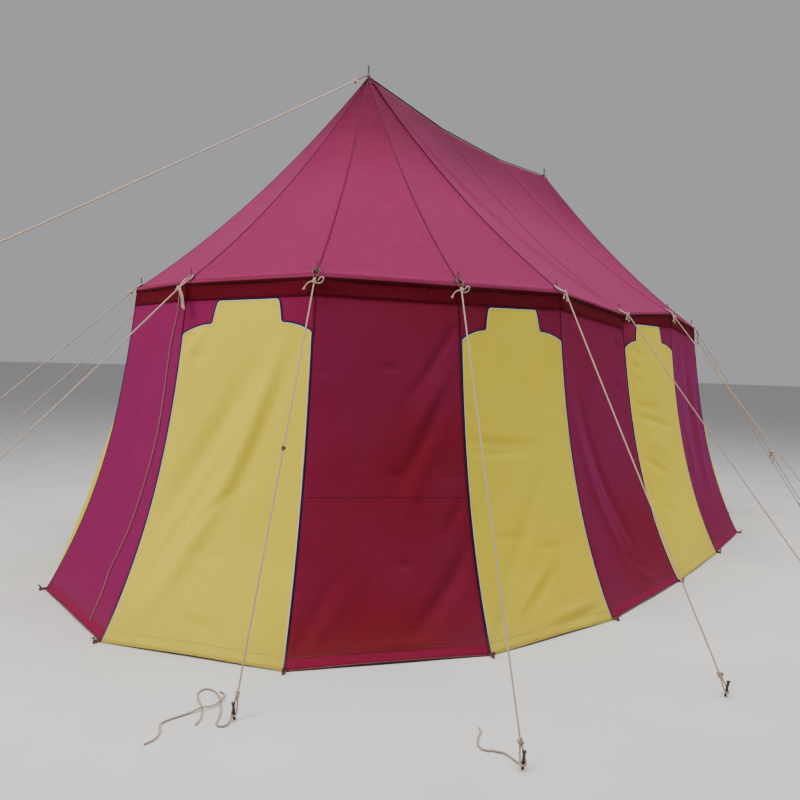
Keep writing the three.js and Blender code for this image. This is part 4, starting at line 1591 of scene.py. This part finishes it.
# Short ends that hang from a knot in one of three ways. Each has steps in millimetres sideways, outwards and
# up, its thickness as a multiple of the rope's, and whether its end is whipped.
TAILS = (
    ((((10, 4, -12), (26, 0, -45), (32, 0, -80), (40, 0, -108)), 1.2, True),
     (((22, 4, -12), (38, 0, -45), (44, 0, -80), (52, 0, -118)), 1.2, True)),
    ((((-20, 0, -4), (-42, 0, -18), (-58, 0, -45)), 1.0, True),
     (((18, 0, -12), (40, 0, -6), (52, 0, 18), (34, 0, 20), (20, 0, 2)), 1.0, False)),
    ((((14, 0, -8), (26, 0, -30), (30, 0, -52)), 1.0, True), (((-12, 0, -12), (-20, 0, -40)), 1.0, True)),
)
TENSIONER_TAILS = ((((40, 0, -4), (70, 0, -30), (60, 0, -45)), 1.5, True),
                   (((-40, 0, -4), (-70, 0, -30), (-60, 0, -95)), 1.5, True))
# The loose end down the wall: height, distance along the panel and distance off it
HANGING_ROUTE = (
    (1.932, 0.0, 0.052), (1.905, 0.006, 0.050), (1.872, 0.024, 0.040), (1.834, 0.058, 0.024),
    (1.780, 0.084, 0.012), (1.700, 0.112, 0.007),
    *((height, distance, 0.006) for height, distance in (
        (1.59, 0.136), (1.45, 0.136), (1.3, 0.128), (1.15, 0.124), (1.0, 0.128), (0.85, 0.144), (0.7, 0.16),
        (0.6, 0.172), (0.5, 0.19), (0.4, 0.222), (0.3, 0.25), (0.2, 0.24), (0.11, 0.233), (0.04, 0.232))),
)
# The ends on the ground, in millimetres: x, y and the height where the rope doesn't just lie
GROUND_ROUTES = {
    "ground_end_02_a": (
        (-3942, -1262, 20), (-3966, -1272, 10), (-3992, -1283), (-4014, -1278), (-4021, -1258),
        (-4009, -1238), (-3980, -1216), (-3936, -1180), (-3893, -1133), (-3852, -1081), (-3822, -1029),
        (-3809, -983), (-3815, -953), (-3837, -942), (-3869, -953), (-3902, -990), (-3931, -1041),
        (-3965, -1096), (-4007, -1142), (-4043, -1169), (-4073, -1183)),
    "ground_end_02_b": (
        (-3800, -1019), (-3797, -1036), (-3810, -1061), (-3839, -1086, 11), (-3870, -1103, 15.4),
        (-3907, -1112, 11), (-3938, -1108, 11), (-3965, -1095, 15.4), (-4010, -1083, 7), (-4059, -1073),
        (-4106, -1064), (-4143, -1063), (-4170, -1078), (-4194, -1113), (-4230, -1144), (-4262, -1156),
        (-4302, -1157)),
    "ground_end_03": (
        (-3520, -2396, 20), (-3508, -2380, 10), (-3496, -2358), (-3484, -2332), (-3473, -2308),
        (-3470, -2288), (-3477, -2268), (-3482, -2250), (-3494, -2232), (-3497, -2209), (-3483, -2186),
        (-3452, -2164), (-3412, -2147), (-3380, -2138), (-3349, -2112)),
}


@dataclass
class Ropes:
    """The guy ropes with their eyes, knots, tails and pegs, and the loose rope ends."""

    plan: TentPlan
    finishes: Finishes
    radius: float = 0.0045
    peak_radius: float = 0.0055
    thin_radius: float = 0.0036
    lying_height: float = 5.2
    sag: float = 0.004
    over_hem: float = 0.004
    hem_clear: float = 0.008
    knot_distance: float = 0.048
    far_knot: float = 0.075
    outer_knots: tuple = (3, 4, 14, 15)
    outer_clear: float = 0.034
    outer_distance: float = 0.012
    knot_width: float = 0.97
    knot_rise: float = 1.15
    mid_knots: tuple = (1, 8)
    mid_place: float = 0.46
    tensioner: tuple = (6, 0.62)
    dark_loops: tuple = (1, 2, 7, 8)
    dark_share: float = 0.8
    loop_clear: float = 0.0051
    loop_lift: float = 0.0115
    tail_ways: tuple = (0, 1, 1, 2, 2, 2, *(0, 1, 2) * 4)
    tail_share: float = 0.9
    peg_profile: tuple = ((0.0055, 0.0), (0.006, 0.002), (0.006, 0.068), (0.0068, 0.0705), (0.0092, 0.072),
                          (0.0095, 0.0755), (0.0085, 0.079), (0.005, 0.080))
    peg_lean: float = 0.2
    rope_on_peg: float = 0.028
    peg_knot_distance: float = 0.075
    peg_radius: float = 0.006
    peak_peg: float = 7.68
    peak_clear: float = 0.0074
    peak_knot: float = 0.165
    peak_peg_knot: float = 0.11
    layout: tuple = ((2.2, 0), (1.05, -4), (1.51, -18), (1.45, -30), (1.46, 0), (1.63, 0), (1.29, 30),
                     (1.51, 18), (1.05, 4), (2.2, 0))
    last_guys: tuple = ((1.45, 0), (2.0, 18), (2.1, 0))

    def section(self, radius: float) -> Section:
        """A laid rope's section."""
        return Section(radius, radius, strands=3, strand_depth=0.24, lay=radius * 8.5)

    def guy_layout(self, corner: int) -> tuple[float, float]:
        """Where a corner's guy runs. The unseen side mirrors the one that shows, but for three guys.

        Args:
            corner: The corner's number.

        Returns:
            Its reach in metres and its swing in degrees.
        """
        tip, first_last = len(self.layout) - 1, self.plan.count - len(self.last_guys)
        if corner <= tip:
            return self.layout[corner]
        if corner >= first_last:
            return self.last_guys[corner - first_last]
        reach, swing = self.layout[2 * tip - corner]
        return reach, -swing

    def knot(self, shell: Shell, place: Array, along: Array, radius: float, turn: float = 0.0,
             size: float = 1.0, slot: int = 0) -> None:
        """Ties a tight overhand knot round a place of a rope.

        The knot is a trefoil: x = sin t + 2 sin 2t, y = cos t - 2 cos 2t and z = -sin 3t, each times the
        rope's radius, with its flat side to the rope.

        Args:
            shell: Where the knot goes.
            place: Its middle.
            along: The rope's direction.
            radius: The rope's radius.
            turn: How far the knot is turned about the rope.
            size: Its size as a multiple of a tight one.
            slot: The material's number.
        """
        t = np.linspace(0, 2 * np.pi, 61)
        loop = stacked(np.sin(t) + 2 * np.sin(2 * t), np.cos(t) - 2 * np.cos(2 * t),
                       -self.knot_rise * np.sin(3 * t))
        side = unit(np.cross(along, UP))
        first = side * math.cos(turn) + np.cross(side, along) * math.sin(turn)
        second = np.cross(along, first)
        path = placed(loop * radius * size, place, along, first, second)
        section = Section(radius * self.knot_width, radius * self.knot_width)
        shell.sweep(section, path, carried_normals(path, second), slot, closed=True)

    def strand(self, shell: Shell, points: list | Array, radius: float, count: int = 40,
               slot: int = 0) -> Array:
        """Adds a smooth stretch of rope through given points.

        Args:
            shell: Where it goes.
            points: The places that it passes.
            radius: Its radius.
            count: Points of the smooth path.
            slot: The material's number.

        Returns:
            Its path.
        """
        section = self.section(radius)
        path = even_path(smooth_path(points, count), section.spacing())
        shell.sweep(section, path, slot=slot)
        return path

    def straight(self, shell: Shell, start: Array, end: Array, radius: float) -> None:
        """Adds a taut stretch that sags by a parabola of a few thousandths of its length.

        Args:
            shell: Where it goes.
            start: Its first point.
            end: Its last point.
            radius: Its radius.
        """
        section = self.section(radius)
        length = float(np.linalg.norm(end - start))
        share = np.linspace(0, 1, max(int(length / section.spacing()), 4))[:, None]
        path = start + (end - start) * share
        path[:, 2] -= 4 * self.sag * length * (share * (1 - share))[:, 0]
        shell.sweep(section, path)

    def tails(self, shell: Shell, knot: Array, tails: tuple, out: Array, side: Array) -> None:
        """Adds short hanging ends to a knot.

        A whipped end is a round bulb whose radius swells and shrinks by a part of a sine.

        Args:
            shell: Where they go.
            knot: The knot's place.
            tails: Steps, thickness and whipping of each.
            out: The direction outwards.
            side: The direction sideways.
        """
        for steps, share, is_whipped in tails:
            radius = self.radius * share
            points = [knot, *placed(np.array(steps) / 1000, knot, side, out, UP)]
            self.strand(shell, points, radius * self.tail_share)
            if is_whipped:
                back = unit(points[-2] - points[-1])
                path = points[-1] + back * np.linspace(0.012, -0.004, 9)[:, None]
                swell = radius * (1.0 + 0.45 * np.sin(np.linspace(0.2, 2.6, 9)))
                bulb, places = Section(1.0, 1.0).carry(path, carried_normals(path))
                bulb = path[:, None] + (bulb - path[:, None]) * swell[:, None, None]
                shell.add(bulb, places, ring=True, caps=True)

    def peg_loop(self, shell: Shell, knot: Array, foot: Array, direction: Array, radius: float) -> None:
        """Adds the two strands from the lower knot that pass round a peg.

        Args:
            shell: Where they go.
            knot: The knot's place.
            foot: The peg's place on the ground.
            direction: The level direction away from the tent.
            radius: The rope's radius.
        """
        out, side = level_axes(direction)
        around = self.peg_radius + radius
        peg = self.on_peg(foot, direction)
        half = (knot + peg) / 2
        turns = np.array([(1, 0), (0.7, 0.8), (0, 1.15), (-0.7, 0.8), (-1, 0)]) * around
        turns = stacked(*turns.T, [0, -0.006, -0.006, -0.006, 0])
        self.strand(shell, [knot, half + side * around * 0.75, *placed(turns, peg, side, out, UP),
                            half - side * around * 0.75, knot], radius, 60)

    def finish_guy(self, shell: Shell, names: tuple[str, str, str], foot: Array, direction: Array) -> None:
        """Builds a guy's rope and its steel peg, which leans away from the tent and has a mushroomed head.

        Args:
            shell: The rope's shell.
            names: The rope's name, the peg's and the frame's node.
            foot: The peg's place on the ground.
            direction: The level direction away from the tent.
        """
        rope, pin, node = names
        shell.build(rope, [self.finishes.rope, self.finishes.old_rope], "guy_rope", stands_for=node)
        stake = Shell()
        stake.add(turned(self.peg_profile, foot, 18, direction * self.peg_lean), ring=True, caps=True)
        stake.build(pin, [self.finishes.steel], "guy_rope")

    def on_peg(self, foot: Array, direction: Array) -> Array:
        """The place on a leaning peg round which its rope lies."""
        return np.append(foot + direction * self.rope_on_peg * self.peg_lean, self.rope_on_peg)

    def eave_guy(self, corner: int) -> None:
        """Builds one eave guy: two strands from the spike over the hem to a knot, the rope, and its peg.

        Args:
            corner: The corner's number.
        """
        plan, radius = self.plan, self.radius
        reach, swing = self.guy_layout(corner)
        out, side = level_axes(plan.facing[corner])
        turn = math.radians(swing)
        direction = (out * math.cos(turn) + side * math.sin(turn))[:2]
        foot = plan.even[corner] + direction * reach
        is_outer = corner in self.outer_knots
        bend = np.append(plan.ground(corner, self.outer_clear if is_outer else self.hem_clear),
                         plan.eave_height + plan.rise[corner, 0] + self.over_hem)
        line = self.on_peg(foot, direction) - bend
        along = unit(line)
        distance = self.far_knot if corner == 0 else self.knot_distance
        knot = bend + along * (self.outer_distance if is_outer else distance)
        low_knot = bend + line - along * self.peg_knot_distance
        shell = Shell()
        self.spike_loop(shell, corner, knot)
        self.knot(shell, knot, along, radius, 0.6 + corner)
        self.straight(shell, knot - along * 0.004, low_knot, radius)
        self.knot(shell, low_knot, along, radius, 0.3 + 1.7 * corner)
        self.peg_loop(shell, low_knot, foot, direction, radius)
        self.tails(shell, knot, TAILS[self.tail_ways[corner]], out, side)
        if corner in self.mid_knots:
            self.knot(shell, bend + line * self.mid_place, along, radius, 0.2, 0.7, slot=1)
        if corner == self.tensioner[0]:
            place = bend + line * self.tensioner[1]
            self.knot(shell, place, along, radius * 1.2, 0.2, 1.9)
            self.tails(shell, place, TENSIONER_TAILS, along, np.array([-along[1], along[0], 0.0]))
        number = f"{corner + 1:02d}"
        names = (f"guy_rope_{number}", f"guy_peg_{number}", f"eave_guy_{number}")
        self.finish_guy(shell, names, foot, direction)

    def spike_loop(self, shell: Shell, corner: int, knot: Array) -> None:
        """Adds the rope that passes round a spike and lies down over the hem on both sides of it.

        Args:
            shell: Where it goes.
            corner: The corner's number.
            knot: The place of the knot in which both strands end.
        """
        plan = self.plan
        out, side = level_axes(plan.facing[corner])
        down = out - UP * plan.eave_slope(corner)
        eave = plan.side_pole_inset + plan.eave_overhang
        around = self.radius + self.loop_clear
        half = np.array([(eave + 0.010, 0.017, 0.003), (eave - 0.004, 0.021, 0.0), (0.010, 0.018, 0.0),
                         (0.002, around + 0.002, 0.0), (-around * 0.75, around * 0.75, 0.0)])
        loop = np.concatenate([half, [(-around, 0.0, 0.0)], half[::-1] * [1, -1, 1]])
        points = [knot, *placed(loop, plan.spike(corner) + UP * self.loop_lift, down, side, UP), knot]
        is_dark = corner in self.dark_loops
        self.strand(shell, points, self.radius * (self.dark_share if is_dark else 1.0), 90, int(is_dark))

    def peak_guy(self, number: int, way: int) -> None:
        """Builds a ridge guy: a loop from the spike to a knot, the long rope, and its peg.

        Args:
            number: The peak's number, from 1.
            way: 1 for the end at positive X, -1 for the other.
        """
        r = self.peak_radius
        direction = np.array([float(way), 0.0])
        out, side = level_axes(direction)
        foot = direction * self.peak_peg
        on_peg = self.on_peg(foot, direction)
        around = self.peak_clear + r
        peak_x, peak_z = self.plan.peaks[number - 1]
        eye = np.array([peak_x, 0.0, peak_z + r + 0.0015])
        start = eye + out * around
        along = unit(on_peg - start)
        knot = start + along * self.peak_knot + UP * 0.001
        low_knot = on_peg - along * self.peak_peg_knot
        half = np.array([(0.004, around), (-around * 0.75, around * 0.7)])
        loop = np.concatenate([half, [(-around, 0.0)], half[::-1] * [1, -1]])
        bow = start + along * 0.075 + UP * 0.006
        points = [knot, bow + side * 0.006, *placed(loop, eye, out, side), bow - side * 0.006, knot]
        shell = Shell()
        self.strand(shell, points, r * self.dark_share, 70, slot=1)
        self.knot(shell, knot, along, r, 0.9, 1.1)
        self.straight(shell, knot, low_knot, r)
        self.knot(shell, low_knot, along, r, 0.4)
        self.peg_loop(shell, low_knot, foot, direction, r)
        names = (f"ridge_rope_{number}", f"ridge_peg_{number}", f"peak_guy_{number}")
        self.finish_guy(shell, names, foot, direction)

    def free_end(self, name: str, points: list | Array, lay: str, stands_for: str = "") -> None:
        """Args:
            name: The piece's name.
            points: The places that it passes, from where it leaves its knot.
            lay: How it lies.
            stands_for: The frame's node that it replaces, if any.
        """
        radius, finish = self.radius, self.finishes.rope
        if lay == "hanging":
            radius, finish = self.thin_radius, self.finishes.thin_rope
        shell = Shell()
        path = self.strand(shell, points, radius, 200)
        piece = shell.build(name, [finish], "guy_rope", stands_for=stands_for)

    def hanging_end(self) -> None:
        """Builds the loose end that hangs from the first corner's knot down the red panel beside it."""
        facing = np.append(self.plan.facing[0], 0.0) / math.cos(math.radians(self.plan.corner_step / 2))
        points = []
        for height, distance, stand_off in HANGING_ROUTE:
            level = height / self.plan.stretch(0.0)
            corner = self.plan.wall(0.0, level)
            along = unit((self.plan.wall(self.plan.count - 1.0, level) - corner) * [1, 1, 0])
            points.append(corner + facing * stand_off + along * distance)
        self.free_end("hanging_rope_end", points, "hanging", "loose_rope_end")

    def make(self) -> None:
        """Builds every rope: the loose ends first, then the guys."""
        self.hanging_end()
        for name, route in GROUND_ROUTES.items():
            points = np.array([(*row, self.lying_height)[:3] for row in route]) / 1000
            self.free_end(name, points, "loose")
        for corner in range(self.plan.count):
            self.eave_guy(corner)
        self.peak_guy(1, -1)
        self.peak_guy(2, 1)


# Camera, light and floor


@dataclass(frozen=True)
class Studio:
    """A plain pale floor, soft light and a camera where the photograph was taken."""

    eye: tuple = (-6.096, -3.613, 1.509)
    heading: float = 54.497
    down: float = 2.557
    roll: float = -1.75
    focal_pixels: float = 756.05
    picture: int = 800
    sensor: float = 36.0
    sky: tuple = (0.90, 0.90, 0.93, 1)
    sky_strength: float = 0.42
    lamps: tuple = (("overhead", (-1.0, -1.5, 9.0), (0.0, 0.0, 0.0), 8.0, 1150.0, (1.0, 0.98, 0.97)),
                    ("left", (-7.5, 1.0, 5.5), (0.0, 0.0, 1.2), 3.5, 420.0, (1.0, 0.95, 0.90)),
                    ("right", (5.0, -9.0, 5.0), (1.0, 0.0, 1.2), 4.0, 260.0, (1.0, 0.97, 0.96)))
    floor_reach: float = 150.0

    def show(self, name: str, data: bpy.types.ID) -> bpy.types.Object:
        """Puts an object with its data into the scene."""
        made = bpy.data.objects.new(name, data)
        bpy.context.scene.collection.objects.link(made)
        return made

    def camera(self) -> None:
        """Sets the camera: a view direction, tipped down, then rolled about itself."""
        heading, down, roll = (math.radians(value) for value in (self.heading, self.down, self.roll))
        ahead = np.array([math.sin(heading), math.cos(heading), 0.0])
        right = np.array([math.cos(heading), -math.sin(heading), 0.0])
        forward = ahead * math.cos(down) - UP * math.sin(down)
        above = ahead * math.sin(down) + UP * math.cos(down)
        side = right * math.cos(roll) - above * math.sin(roll)
        up = right * math.sin(roll) + above * math.cos(roll)
        data = bpy.data.cameras.new("camera")
        data.sensor_width = self.sensor
        data.lens = self.focal_pixels / self.picture * self.sensor
        data.clip_end = 500
        camera = self.show("camera", data)
        matrix = np.eye(4)
        matrix[:3] = np.stack([side, up, -forward, self.eye], -1)
        camera.matrix_world = Matrix(matrix.tolist())
        bpy.context.scene.camera = camera

    def light(self) -> None:
        """Sets an overcast sky and three wide soft lamps: one overhead and one on either side."""
        world = bpy.data.worlds.new("sky")
        world.use_nodes = True
        sky = world.node_tree.nodes["Background"]
        Wiring(world.node_tree).fill(sky, Color=self.sky, Strength=self.sky_strength)
        bpy.context.scene.world = world
        for name, place, aim, size, power, colour in self.lamps:
            data = bpy.data.lights.new(name, "AREA")
            data.shape, data.size, data.energy, data.color = "DISK", size, power, colour
            lamp = self.show(name, data)
            lamp.location = place
            aimed = Vector(np.subtract(aim, place))
            lamp.rotation_euler = aimed.to_track_quat("-Z", "Y").to_euler()

    def floor(self) -> None:
        """Lays a wide pale floor just under the tent."""
        mesh, reach = bpy.data.meshes.new("floor"), self.floor_reach
        corners = [(-reach, -reach, 0.0), (reach, -reach, 0.0), (reach, reach, 0.0), (-reach, reach, 0.0)]
        mesh.from_pydata(corners, [], [(0, 1, 2, 3)])
        material, w, shader = new_material("studio_floor")
        tone = w.ramp(w.noise(w.where(), 1.5, 3.0), 0.3, 0.7)
        w.fill(shader, Base_Color=w.mix(tone, (0.56, 0.555, 0.55, 1), (0.60, 0.595, 0.59, 1)), Roughness=0.95)
        mesh.materials.append(material)
        self.show("studio_floor", mesh)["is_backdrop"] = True

    def make(self) -> None:
        """Sets up camera, light and floor."""
        self.camera()
        self.light()
        self.floor()


def main() -> None:
    """Builds the tent piece by piece and reports each."""
    logging.basicConfig(level=logging.INFO, format="%(name)s: %(message)s")
    Studio().make()
    plan, finishes = TentPlan(), Finishes()
    for part in (Ropes(plan, finishes), Canopy(plan, finishes), Wall(plan, finishes), Poles(plan, finishes)):
        before = len(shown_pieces())
        part.make()
        log.info("%s: %d pieces", type(part).__name__.lower(), len(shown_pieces()) - before)


if __name__ == "__main__":
    main()
